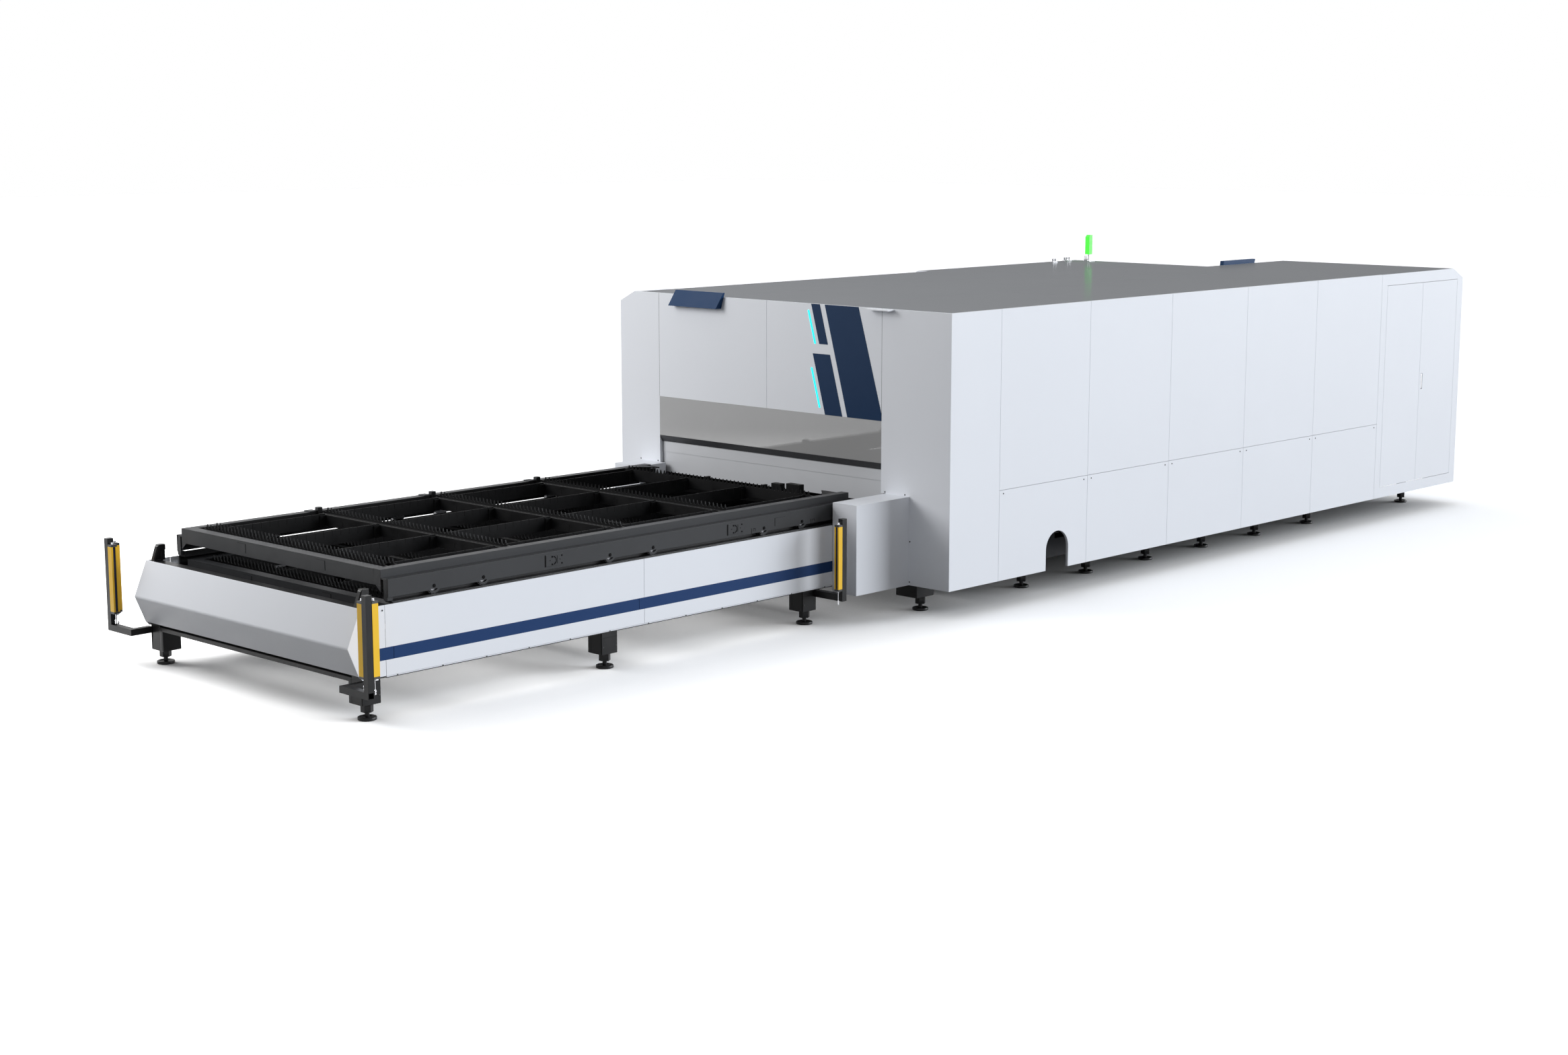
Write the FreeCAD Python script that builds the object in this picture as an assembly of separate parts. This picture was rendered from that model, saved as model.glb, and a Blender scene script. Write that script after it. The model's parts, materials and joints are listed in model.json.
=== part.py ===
"""Enclosed flat-bed laser cutting machine with a two-level exchange table.

Millimetres, +Z up, floor at z = 0. +X runs from the loading table to the rear cabinet and
+Y from the near side to the operator side. Each sub-part is written to its own STEP file.
Widths across Y count from the table's half width, and the table's length along X follows
the pallet's length, forward from the portal.
"""
import FreeCAD, Part
import math
import os

Vec = FreeCAD.Vector

# ---------------------------------------------------------------- driving dimensions
# Sheet metal, clearances and repeated round pieces
sheet = 3.0              # wall of every folded panel
fold = 20.0              # depth of a panel's returned edge
seam = 3.0               # gap between neighbouring panels
run_gap = 2.0            # gap between a moving piece and what it passes
tube_size = 80.0         # members of the enclosure's own frame
round_sides = 16         # repeated round pieces are prisms with this many sides
hex_sides = 6
pad_sides = 10           # pads of the levelling feet
arch_sides = 32

# Enclosure along X and Z
portal_x = -1247.0       # front plane of the portal
portal_depth = 354.0
front_panel_len = 560.0  # full-height panel beside the portal
panel_pitch = 1060.0     # side panels behind it
panel_bays = 5
bay_start_x = 2260.0     # operator bay
body_rear_x = 4590.0
cabinet_rear_x = 6050.0
roof_z = 2177.0
panel_z = 204.0          # lower edge of every outer panel
row_z = 870.7            # seam between the two rows of side panels
shoulder_w = 161.0       # slanted shoulder along the far roof edge
shoulder_h = 79.0
rear_slope_len = 180.0   # slanted rear edge of the cabinet roof
rear_slope_h = 89.0
roof_fold = 40.0
roof_pitch = 1932.0      # roof panels, counted from the rear
roof_seam_y = (-580.0, 590.0)
cabinet_far_y = 40.0

# Widths across Y, each beyond the table's half width or inside it
table_half = 1150.0      # outer face of the table's side panels
near_wall_gap = 600.0
far_wall_gap = 450.0
bay_wall_gap = 561.0
pillar_near_lap = 46.0
pillar_far_gap = 61.0
pillar_wall_gap = 501.0
pass_gap = 226.0         # notch of the pillars and the covers in it
cover_far_gap = 286.0
bed_gap = 139.0
foot_gap = 209.0
post_gap = 256.0
arm_lap = 23.0
beam_lap = 113.0
skirt_gap = 20.0
channel_w = 135.0        # from a pallet's skirt to the inside of its tube

# Portal
notch_z = 847.0          # the pillars stand back below this to let the pallets pass
fascia_z = 1369.0
fascia_seam_y = 45.0
glass_z = 1063.0
glass_t = 6.0
visor_drop = 48.0        # dark slanted strip below the glass
door_recess = 30.0
door_t = 30.0
door_low_z = 930.0
door_top_z = 1345.0
door_side_gap = 8.0
apron_low_z = 770.0
apron_t = 10.0
tab_len_y = 225.0        # light plate on the portal's front edge
tab_reach = 70.0
tab_t = 8.0
inlay_t = 2.0
inlay_lean = 0.28        # sideways shift of the blades for each unit of height
inlay_wide = 330.0
inlay_narrow = 170.0
inlay_gap = 50.0
strip_w = 14.0
strip_t = 3.0
strip_gap = 34.0

# Pallets
pallet_len = 4133.0
pallet_back_gap = 305.0  # from the portal's front to the upper pallet's rear end
pallet_top_z = 880.0
pallet_drop = 211.0      # the lower pallet sits this much lower
pallet_lag_x = 37.0      # and this much further back
tube_w = 69.0
tube_h = 97.0
skirt_t = 8.0
skirt_top_drop = 50.0    # below the top of the tube
skirt_h = 110.0
skirt_front_gap = 3.0
end_plate_w = 45.0       # plate across the channel's front end
guide_len = 40.0         # guide block under that plate
lobe_r = 48.0            # rounded lobes of the skirt over the wheels
slot_r = 32.0
slot_drop = 18.0         # flat of the half-moon slot below the wheel's axis
axle_r = 10.0
axle_gap = 2.0           # round the axle in the skirt's hole
wheel_r = 50.0
wheel_w = 32.0
wheel_drop = 135.0       # axis below the pallet's top
wheel_gap = 0.5          # between wheel and rail
wheel_share = (0.13, 0.475, 0.8195)  # middle of each wheel set, of the pallet's length
wheel_spread = 381.0     # between the two wheels of a set
front_beam_w = 80.0
bar_w = 50.0             # cross bars
bar_h = 78.0
bar_top_drop = 12.0
bar_share = (0.2452, 0.4806, 0.7162, 0.9327)
rear_beam_drop = 80.0
catch_y = ((-628.0, -494.0), (-436.0, -344.0))   # blocks on the rear beam
catch_rise = (12.0, 0.0)
gusset_w = 50.0          # under the corners of the front beam
gusset_h = 40.0
slat_t = 8.0
slat_low_drop = 80.0
tooth_rise = 28.0        # tips above the pallet's top
tooth_depth = 30.0
tooth_pitch = 78.0
slat_gap = 33.0          # between the front beam and the first slat
slat_step = 72.0         # between the two front slats
slat_end_gap = 18.0      # between a slat and the tubes
divider_t = 6.0
divider_share = (0.2955, 0.9)        # of the half width inside the tubes
divider_top_drop = 4.0
divider_h = 93.0
stop_w = 36.0            # hooked stops over the far ends of the cross bars
stop_rise = 26.0
stop_lap = 26.0
stop_nose = 12.0
stop_plate_len = 60.0
stop_plate_t = 6.0
corner_plate = 150.0
corner_plate_t = 8.0
plate_share = (0.2957, 0.6869)       # front edge of the plates on the skirt
plate_len = 154.0
plate_h = 74.0
plate_t = 2.0
plate_slot = 12.0        # width of the C-shaped slot in them

# Exchange table, from the pallet's front to the portal's covers
hood_gap = 219.0         # from the hood's top edge to the pallet's front
table_rear_gap = 568.0   # from the table's rear end to the portal
table_seam_back = 181.0  # from the hood's top edge to the side panels
table_mid_share = 0.535
table_panel_z = 257.0
table_top_z = 685.0
stripe_low_z = 353.0
stripe_high_z = 429.0
stripe_lead = 100.0      # the stripe starts this far before the side panels
stripe_front_shift = 59.0
stripe_mid_shift = -46.0
beam_w = 100.0
beam_low_z = 245.0
beam_h = 100.0
leg_front_back = 77.0    # front leg's middle behind the hood's top edge
leg_rear_gap = 223.0     # rear leg's middle before the table's rear end
leg_len = 135.0
leg_low_z = 97.0
cross_w = 80.0
cross_h = 70.0
hood_crease_out = 95.0
hood_crease_z = 459.5
hood_low_out = 21.0
hood_low_z = 284.0
hood_lip = 12.0
hood_crease_r = 25.0
front_tube_w = 50.0      # black tube under the hood
front_tube_z = 230.0
front_tube_h = 28.0
head_beam_w = 70.0       # beam behind the hood's top edge
head_beam_h = 84.0
hook_w = 40.0
hook_len = 68.0
hook_h = 106.0
hook_nose = 20.0
hook_nose_h = 38.0
hook_slope = 40.0        # length of the sloped front, along X
hook_hole_margin = 17.0
hook_hole_h = 50.0
hook_inset = 60.0        # from the panel's outer face to the hook's middle

# Rails of the pallets
rail_w = 55.0
rail_t = 12.0
lip_t = 6.0              # upright strip along the rail's inner edge
lip_h = 30.0
web_t = 14.0
web_low_z = 345.0
web_top_drop = 2.5
rail_front_back = 25.0   # behind the pallet's front
rail_end_x = 3900.0
rail_post_w = 60.0
rail_post_pitch = 650.0

# Light curtains
post_front = 146.0       # before the hood's top edge
post_w = 44.0
post_d = 40.0
post_low_z = 208.0
post_top_z = 819.0
arm_h = 42.0
arm_wall = 4.0
arm_bore = 60.0          # open depth of the arm's end
rear_post_back = 176.0   # before the table's rear end
rear_post_low_z = 195.0
rear_post_top_z = 777.0
rear_arm_h = 48.0
bar_side = 44.0
bar_groove_w = 18.0
bar_groove_d = 5.0
bar_low_z = 337.0
bar_top_z = 768.0
rear_bar_low_z = 284.0
rear_bar_top_z = 725.0
rear_bar_side = 40.0
bar_cap_h = 14.0

# Levelling feet
pad_r = 60.5
pad_h = 20.0
stud_r = 12.0
foot_block = 64.0
table_foot_block_z = 60.0
body_foot_block_z = 100.0
corner_foot_block_z = 60.0
corner_box_z = 106.0     # open box over the front corner feet
corner_box_t = 16.0
corner_box_len = 190.0
corner_box_w = 200.0
corner_box_shift = (-18.0, -36.0)   # its middle from the foot
corner_foot_back = 150.0            # behind the portal's front
body_foot_x = (87.0, 903.0, 1706.0, 2505.0, 3309.0, 4146.0)
cabinet_foot_gap = 260.0            # before the cabinet's rear wall
cabinet_foot_in = 160.0             # inside its far wall

# Covers between table and portal
cover_len = 566.0
cover_far_len = 277.0

# Machine bed, gantry and head
bed_w = 140.0
bed_sill_h = 140.0
bed_top_z = 960.0
bed_rail_beam_h = 160.0
bed_posts = 6
bed_front_gap = 120.0    # from the portal's back to the bed
bed_rear_gap = 40.0
bracket_z = 400.0        # underside of the rail brackets
tie_w = 120.0
tie_h = 100.0
guide_w = 50.0
guide_h = 40.0
gantry_x = 3700.0
gantry_w = 260.0
gantry_h = 280.0
gantry_wall = 14.0
gantry_z = 1102.0
gantry_rail_inset = 50.0 # from the beam's edges to its rails
gantry_rail_h = 25.0
gantry_rail_t = 20.0
saddle_len = 500.0
saddle_over = 10.0
carriage_w = 440.0
carriage_t = 36.0
carriage_h = 360.0
carriage_drop = 40.0     # below the beam's underside
carriage_cap_w = 220.0
carriage_cap_h = 144.0
head_w = 120.0
head_d = 88.0
head_low_z = 1340.0
head_h = 420.0
nozzle_tip_z = 1215.0
nozzle_r = 9.0
nozzle_top_r = 24.0
lens_r = 34.0
lens_h = 85.0

# Side details
arch_x = 10.0
arch_w = 272.0
arch_top_z = 491.0
leaf_x = (4705.0, 5950.0)
leaf_z = (296.0, 2079.0)
leaf_gap = 3.0
handle_in = 44.0         # handle's middle from the leaf's inner edge
handle_w = 16.0
handle_z = (1126.0, 1254.0)
pocket_margin = 6.0
pocket_d = 17.0
handle_t = 11.0

# Roof details
sign_y = (484.0, 1046.0)
sign_lean = 45.0         # the sign's foot stands forward of its top
sign_low_z = 2090.0
sign_top_z = 2212.0
sign_t = 60.0
sign_end_slant = 40.0
rear_sign_x = (4840.0, 5385.0)
rear_sign_z = (2120.0, 2215.0)
rear_sign_t = 40.0
rear_sign_slant = 30.0
beacon_x = 4510.0
beacon_in = 376.0        # inside the bay's wall
beacon_w = 48.0
beacon_h = 183.0
beacon_cut = 19.0
beacon_stem_h = 60.0
beacon_stem_r = 9.0
beacon_base = 84.0
beacon_base_t = 6.0
beacon_bracket_h = 48.0
gland_x = (4091.0, 4360.0)
gland_in = (285.0, 233.0)
gland_h = 38.0
gland_block_h = 12.0
gland_r = 12.0
gland_block_half = 15.0
gland_pitch = 36.0
gland_count = (2, 3)

# Operator side
access_x = (2500.0, 3350.0)
access_z = (300.0, 2000.0)
access_lap = 30.0
access_t = 24.0
window_w = 480.0
window_h = 620.0
window_low_z = 1140.0
window_t = 5.0
pull_len = 300.0
pull_w = 24.0
console_x = (1500.0, 2150.0)
console_z = (950.0, 1500.0)
console_d = 140.0
console_top_d = 70.0
button_r = 20.0
button_h = 14.0
button_stem_r = 10.0
button_travel = 6.0
stop_box = 70.0
stop_box_d = 45.0

# Inside the rear cabinet
source_x = (5360.0, 5900.0)
source_d = 800.0
source_h = 1250.0
source_leg = 40.0
rack_x = (4740.0, 5280.0)
rack_t = 30.0
rack_h = 1500.0
rack_rows = 4
rack_cols = 3
device_d = 120.0
device_h = 250.0
device_gap = 20.0
device_low = 80.0
back_gap = 40.0          # between the fittings and the cabinet's far wall
cabinet_floor_z = 344.0

# Exchange drive below the hood
drive_back = 114.0       # behind the hood's top edge
drive_z = 430.0
drive_shaft_r = 25.0
sprocket_r = 55.0
sprocket_t = 20.0
gearbox = 140.0
motor_r = 60.0
motor_len = 230.0
bearing_w = 60.0

# ---------------------------------------------------------------- places that follow
near_y = -(table_half + near_wall_gap)
near_edge_y = near_y + fold
body_far_y = table_half + far_wall_gap
bay_far_y = table_half + bay_wall_gap
pillar_near_in_y = -(table_half - pillar_near_lap)
pillar_far_in_y = table_half + pillar_far_gap
pillar_far_y = table_half + pillar_wall_gap
notch_half = table_half + pass_gap
cover_far_out = table_half + cover_far_gap
bed_in = table_half + bed_gap
foot_y = table_half + foot_gap
post_out = table_half + post_gap
arm_in = table_half - arm_lap
beam_in = table_half - beam_lap
leg_out = beam_in + beam_w
skirt_out = table_half - skirt_gap
tube_in = skirt_out - channel_w
divider_y = [share * tube_in for share in divider_share]
rail_out = table_half - sheet - web_t
rail_in = rail_out - rail_w

panel_start_x = portal_x + front_panel_len
panel_end_x = panel_start_x + panel_bays * panel_pitch
portal_back_x = portal_x + portal_depth
door_x = portal_x + door_recess
corner_foot_x = portal_x + corner_foot_back
pallet_front_x = portal_x - pallet_back_gap - pallet_len
rail_front_x = pallet_front_x + rail_front_back
hood_top_x = pallet_front_x - hood_gap
hood_crease_x = hood_top_x - hood_crease_out
hood_low_x = hood_top_x - hood_low_out
head_beam_x = hood_top_x + hood_lip
post_x = hood_top_x - post_front
drive_x = hood_top_x + drive_back
table_rear_x = portal_x - table_rear_gap
table_seam_x = hood_top_x + table_seam_back
table_mid_seam_x = table_seam_x + table_mid_share * (table_rear_x - table_seam_x)
leg_front_x = hood_top_x + leg_front_back
leg_rear_x = table_rear_x - leg_rear_gap
leg_x = (leg_front_x, (leg_front_x + leg_rear_x) / 2, leg_rear_x)
rear_post_x = table_rear_x - rear_post_back
wheel_at = [share * pallet_len + side * wheel_spread / 2 for share in wheel_share for side in (-1, 1)]
bar_at = [share * pallet_len for share in bar_share]
cabinet_foot_x = cabinet_rear_x - cabinet_foot_gap
cabinet_foot_far_y = cabinet_far_y - cabinet_foot_in

roof_under_z = roof_z - roof_fold
beam_top_z = beam_low_z + beam_h
upper_axle_z = pallet_top_z - wheel_drop
upper_rail_z = upper_axle_z - wheel_r - wheel_gap
lower_rail_z = upper_rail_z - pallet_drop
beacon_y = bay_far_y - beacon_in
gland_y = [bay_far_y - inset for inset in gland_in]


# ---------------------------------------------------------------- shape helpers
def block(x0, x1, y0, y1, z0, z1):
    """Box between two opposite corners."""
    corner = Vec(min(x0, x1), min(y0, y1), min(z0, z1))
    return Part.makeBox(abs(x1 - x0), abs(y1 - y0), abs(z1 - z0), corner)


def pan(x0, x1, y0, y1, z0, z1, back):
    """Folded pan: a box with sheet walls and one open side, such as "+y"."""
    low = [x0 + sheet, y0 + sheet, z0 + sheet]
    high = [x1 - sheet, y1 - sheet, z1 - sheet]
    axis = "xyz".index(back[1])
    if back[0] == "+":
        high[axis] += 2 * sheet
    else:
        low[axis] -= 2 * sheet
    inside = block(low[0], high[0], low[1], high[1], low[2], high[2])
    return block(x0, x1, y0, y1, z0, z1).cut(inside)


def prism(points, place, direction):
    """Extrude a closed outline whose 2-D points are placed in space by a function."""
    corners = [place(a, b) for a, b in points]
    wire = Part.makePolygon(corners + corners[:1])
    return Part.Face(wire).extrude(direction)


def plate_xz(points, y0, y1):
    """Plate with an outline in X and Z between two planes of Y."""
    return prism(points, lambda a, b: Vec(a, y0, b), Vec(0, y1 - y0, 0))


def plate_yz(points, x0, x1):
    """Plate with an outline in Y and Z between two planes of X."""
    return prism(points, lambda a, b: Vec(x0, a, b), Vec(x1 - x0, 0, 0))


def plate_xy(points, z0, z1):
    """Plate with an outline in X and Y between two planes of Z."""
    return prism(points, lambda a, b: Vec(a, b, z0), Vec(0, 0, z1 - z0))


def thick_line(points, wall):
    """Closed outline of an open folded line, thickened to its right."""
    inner = []
    for i, (a, b) in enumerate(points):
        before = points[max(i - 1, 0)]
        after = points[min(i + 1, len(points) - 1)]
        normals = []
        for start, end in ((before, (a, b)), ((a, b), after)):
            length = math.hypot(end[0] - start[0], end[1] - start[1])
            if length > 0:
                normals.append(((end[1] - start[1]) / length, (start[0] - end[0]) / length))
        sum_a = sum(n[0] for n in normals)
        sum_b = sum(n[1] for n in normals)
        scale = wall * len(normals) / (sum_a * sum_a + sum_b * sum_b)
        inner.append((a + sum_a * scale, b + sum_b * scale))
    return list(points) + inner[::-1]


def taper(low, high, z0, z1):
    """Solid between two outlines in X and Y that have the same corners at different sizes."""
    below = [Vec(a, b, z0) for a, b in low]
    above = [Vec(a, b, z1) for a, b in high]
    outlines = [below, above]
    for i in range(len(below)):
        outlines.append([below[i - 1], below[i], above[i], above[i - 1]])
    faces = [Part.Face(Part.makePolygon(corners + corners[:1])) for corners in outlines]
    return Part.makeSolid(Part.makeShell(faces))


def round_edge(shape, radius, point):
    """Round the edges of a plate that pass through a point."""
    vertex = Part.Vertex(point)
    edges = [e for e in shape.Edges if e.distToShape(vertex)[0] < sheet / 2]
    return shape.makeFillet(radius, edges)


def ngon(a, b, radius, sides=round_sides):
    """Regular outline round a centre, with a flat side below."""
    step = 2 * math.pi / sides
    first = step / 2 - math.pi / 2
    return [(a + radius * math.cos(first + step * i), b + radius * math.sin(first + step * i))
            for i in range(sides)]


def mirrored(solids):
    """The same solids on the other side of the middle plane."""
    return [s.mirror(Vec(0, 0, 0), Vec(0, 1, 0)) for s in solids]


def both_sides(solids):
    """The solids and their mirror images."""
    return solids + mirrored(solids)


def shifted(solids, dx=0.0, dy=0.0, dz=0.0):
    """Copies of the solids moved by a distance."""
    copies = [s.copy() for s in solids]
    for s in copies:
        s.translate(Vec(dx, dy, dz))
    return copies


def export(node, solids):
    """Write one node's solids to its own file."""
    Part.makeCompound(solids).exportStep("parts/" + node + ".step")


# ---------------------------------------------------------------- exchange table
def table_frame():
    """Side beams, legs, cross members and the posts under the lower rails."""
    front = leg_x[0] - leg_len / 2
    solids = [block(front, table_rear_x, beam_in, leg_out, beam_low_z, beam_top_z)]
    for x in leg_x:
        solids.append(block(x - leg_len / 2, x + leg_len / 2, beam_in, leg_out, leg_low_z, beam_low_z))
    post_x0 = leg_x[0] + leg_len
    while post_x0 + rail_post_w < table_rear_x:
        solids.append(block(post_x0, post_x0 + rail_post_w, rail_in, rail_out,
                            beam_top_z, lower_rail_z - rail_t))
        post_x0 += rail_post_pitch
    solids = both_sides(solids)
    tube_top_z = front_tube_z + front_tube_h
    for x in leg_x:
        solids.append(block(x - cross_w / 2, x + cross_w / 2, -beam_in, beam_in,
                            tube_top_z, tube_top_z + cross_h))
    solids.append(block(front, front + front_tube_w, -beam_in, beam_in, front_tube_z, tube_top_z))
    head_x = head_beam_x
    solids.append(block(head_x, head_x + head_beam_w, -rail_out, rail_out,
                        table_top_z - head_beam_h, table_top_z))
    upright_x1 = head_x + head_beam_w
    solids += both_sides([block(head_x, upright_x1, beam_in, rail_out,
                                beam_top_z, table_top_z - head_beam_h)])
    return solids


def foot(x, y, block_low, block_top):
    """Levelling foot: pad, hexagonal neck and square block."""
    pad = plate_xy(ngon(x, y, pad_r, pad_sides), 0, pad_h)
    stud = plate_xy(ngon(x, y, stud_r, hex_sides), pad_h, block_low)
    half = foot_block / 2
    head = block(x - half, x + half, y - half, y + half, block_low, block_top)
    return [pad, stud, head]


def table_feet():
    """One foot under each leg."""
    solids = []
    for x in leg_x:
        solids += foot(x, beam_in + beam_w / 2, table_foot_block_z, leg_low_z)
    return both_sides(solids)


def hood_cheek():
    """Outline of the hood's end."""
    return [(hood_top_x, table_top_z), (hood_crease_x, hood_crease_z), (hood_low_x, hood_low_z),
            (hood_low_x + hood_low_z - table_panel_z, table_panel_z),
            (table_seam_x - seam, table_panel_z), (table_seam_x - seam, table_top_z)]


def table_hood():
    """Folded hood over the table's front end, with two end cheeks."""
    line = [(hood_top_x + hood_lip, table_top_z), (hood_top_x, table_top_z),
            (hood_crease_x, hood_crease_z), (hood_low_x, hood_low_z),
            (hood_low_x + hood_lip, hood_low_z)]
    skin = plate_xz(thick_line(line[::-1], sheet), -table_half + sheet, table_half - sheet)
    skin = round_edge(skin, hood_crease_r, Vec(hood_crease_x, 0, hood_crease_z))
    cheek = plate_xz(hood_cheek(), table_half - sheet, table_half)
    gap = block(table_seam_x - stripe_lead, table_seam_x, table_half - sheet, table_half,
                stripe_low_z, stripe_high_z)
    return [skin] + both_sides([cheek.cut(gap)])


def table_side_panels():
    """Two light panels a side, above and below the stripe."""
    spans = ((table_seam_x, table_mid_seam_x - seam), (table_mid_seam_x, table_rear_x))
    solids = []
    for x0, x1 in spans:
        solids.append(block(x0, x1, table_half - sheet, table_half, table_panel_z, stripe_low_z))
        solids.append(block(x0, x1, table_half - sheet, table_half, stripe_high_z, table_top_z))
    return both_sides(solids)


def table_stripes():
    """Dark band let into the side panels and the rear of the hood's cheeks."""
    ends = (table_seam_x - stripe_lead, table_seam_x + stripe_front_shift,
            table_mid_seam_x + stripe_mid_shift, table_rear_x + seam)
    solids = [block(x0, x1 - seam, table_half - sheet, table_half, stripe_low_z, stripe_high_z)
              for x0, x1 in zip(ends, ends[1:])]
    return both_sides(solids)


def rail(top_z):
    """Running rail and the upright strip along its inner edge."""
    low = top_z - rail_t
    return [block(rail_front_x, rail_end_x, rail_in, rail_out, low, top_z),
            block(rail_front_x, rail_end_x, rail_in - lip_t, rail_in, low, top_z + lip_h)]


def pallet_rails():
    """Upper and lower running rails on one deep web a side, from the table into the bed."""
    web = block(rail_front_x, rail_end_x, rail_out, rail_out + web_t,
                web_low_z, upper_rail_z - web_top_drop)
    return both_sides([web] + rail(upper_rail_z) + rail(lower_rail_z))


def pallet_hooks():
    """Catch on each front corner, with a sloped front and a nose over the pallet side."""
    x0 = head_beam_x
    x1 = x0 + hook_len
    z0 = table_top_z
    top = z0 + hook_h
    outline = [(x0, z0), (x1, z0), (x1, top - hook_nose_h), (x1 + hook_nose, top - hook_nose_h),
               (x1 + hook_nose, top), (x0 + hook_slope, top)]
    middle = table_half - hook_inset
    body = plate_xz(outline, middle - hook_w / 2, middle + hook_w / 2)
    margin = hook_hole_margin
    hole = plate_xz([(x0 + margin, z0 + margin / 2), (x1 - margin, z0 + margin / 2),
                     (x1 - margin, z0 + margin / 2 + hook_hole_h)], middle - hook_w, middle + hook_w)
    return both_sides([body.cut(hole)])


# ---------------------------------------------------------------- light curtains
def curtain_posts():
    """Posts with their base arms, two at the front and two at the rear of the table."""
    out_in = post_out - post_d
    arm = block(post_x, post_x + post_w, arm_in + post_d, post_out, post_low_z, post_low_z + arm_h)
    bore = block(post_x + arm_wall, post_x + post_w - arm_wall, post_out - arm_bore, post_out,
                 post_low_z + arm_wall, post_low_z + arm_h - arm_wall)
    front = [block(post_x, post_x + post_w, out_in, post_out, post_low_z + arm_h, post_top_z),
             arm.cut(bore),
             block(post_x + post_w, leg_x[0] - leg_len / 2, arm_in, arm_in + post_d,
                   post_low_z, post_low_z + arm_h),
             block(post_x, post_x + post_w, arm_in, arm_in + post_d, post_low_z, post_low_z + arm_h)]
    top = rear_post_low_z + rear_arm_h
    rear = [block(rear_post_x, rear_post_x + post_w, out_in, post_out, top, rear_post_top_z),
            block(rear_post_x, rear_post_x + post_w, leg_out, post_out, rear_post_low_z, top)]
    return both_sides(front + rear)


def curtain_bar(x, y, size, z0, z1, side):
    """Square bar with a groove along the side that it looks to."""
    half = size / 2
    body = block(x - half, x + half, y - half, y + half, z0, z1)
    slot = bar_groove_w / 2
    grooves = {"-x": (x - half, x - half + bar_groove_d, y - slot, y + slot),
               "+x": (x + half - bar_groove_d, x + half, y - slot, y + slot),
               "-y": (x - slot, x + slot, y - half, y - half + bar_groove_d)}
    gx0, gx1, gy0, gy1 = grooves[side]
    return body.cut(block(gx0, gx1, gy0, gy1, z0, z1))


def bar_places():
    """Middle, side, ends and facing of each curtain bar on the far side."""
    mid_y = post_out - post_d / 2
    return [(post_x + post_w / 2, post_out - post_d - bar_side / 2, bar_side,
             bar_low_z, bar_top_z, "-y"),
            (post_x + post_w + bar_side / 2, mid_y, bar_side, bar_low_z, bar_top_z, "+x"),
            (rear_post_x - rear_bar_side / 2, mid_y, rear_bar_side,
             rear_bar_low_z, rear_bar_top_z, "-x")]


def curtain_bars():
    """Yellow bars on the posts."""
    return both_sides([curtain_bar(*place) for place in bar_places()])


def curtain_caps():
    """Black caps on both ends of each bar."""
    solids = []
    for x, y, size, z0, z1, _ in bar_places():
        half = size / 2
        for low in (z0 - bar_cap_h, z1):
            solids.append(block(x - half, x + half, y - half, y + half, low, low + bar_cap_h))
    return both_sides(solids)


# ---------------------------------------------------------------- exchange drive
def exchange_motor():
    """Gearbox and motor beside the shaft's near end, and a bearing block at its far end."""
    y0 = -beam_in
    box = block(drive_x - gearbox / 2, drive_x + gearbox / 2, y0, y0 + gearbox,
                drive_z - gearbox / 2, drive_z + gearbox / 2)
    side = drive_x + gearbox / 2
    motor = plate_yz(ngon(y0 + gearbox / 2, drive_z, motor_r), side, side + motor_len)
    bearing = block(drive_x - bearing_w / 2, drive_x + bearing_w / 2, beam_in - bearing_w / 2, beam_in,
                    beam_top_z, drive_z + bearing_w)
    stand = block(drive_x - gearbox / 2, drive_x + gearbox / 2, y0, y0 + gearbox / 2,
                  front_tube_z + front_tube_h + cross_h, drive_z - gearbox / 2)
    return [box, motor, bearing, stand]


def exchange_shaft():
    """Cross shaft with two sprockets."""
    y0 = -beam_in + gearbox
    y1 = beam_in - bearing_w / 2
    shaft = plate_xz(ngon(drive_x, drive_z, drive_shaft_r), y0, y1)
    for y in (y0 + sprocket_t, y1 - 2 * sprocket_t):
        shaft = shaft.fuse(plate_xz(ngon(drive_x, drive_z, sprocket_r), y, y + sprocket_t))
    return [shaft.removeSplitter()]


# ---------------------------------------------------------------- covers at the portal
def cover(length, inner, outer):
    """Closed cover with an open back against the portal."""
    return pan(portal_x - length, portal_x, inner, outer, panel_z, notch_z, "+x")


def transition_covers():
    """Long cover on the near side and a short one on the far side."""
    inner = table_half
    return [cover(cover_len, -notch_half, -inner), cover(cover_far_len, inner, cover_far_out)]


# ---------------------------------------------------------------- pallets
def pallet_skirt():
    """Outer channel of a pallet: web with lobes over the wheels, and a top flange."""
    x0 = pallet_front_x + skirt_front_gap
    x1 = pallet_front_x + pallet_len
    top = pallet_top_z - skirt_top_drop
    y0 = skirt_out - skirt_t
    web = block(x0, x1, y0, skirt_out, top - skirt_h, top)
    for at in wheel_at:
        x = pallet_front_x + at
        web = web.fuse(plate_xz(ngon(x, upper_axle_z, lobe_r), y0, skirt_out))
    for at in wheel_at:
        x = pallet_front_x + at
        low_half = block(x - slot_r, x + slot_r, y0, skirt_out,
                         upper_axle_z - slot_r, upper_axle_z - slot_drop)
        web = web.cut(plate_xz(ngon(x, upper_axle_z, slot_r), y0, skirt_out).common(low_half))
        web = web.cut(plate_xz(ngon(x, upper_axle_z, axle_r + axle_gap, hex_sides), y0, skirt_out))
    flange = block(x0, x1, tube_in + tube_w, skirt_out - skirt_t, top - skirt_t, top)
    end_y = skirt_out - end_plate_w
    end = block(x0, x0 + skirt_t, end_y, y0, top - skirt_h, top - skirt_t)
    guide = block(x0, x0 + guide_len, end_y, y0, upper_rail_z + run_gap, top - skirt_h)
    return [web.removeSplitter(), flange, end, guide]


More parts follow.
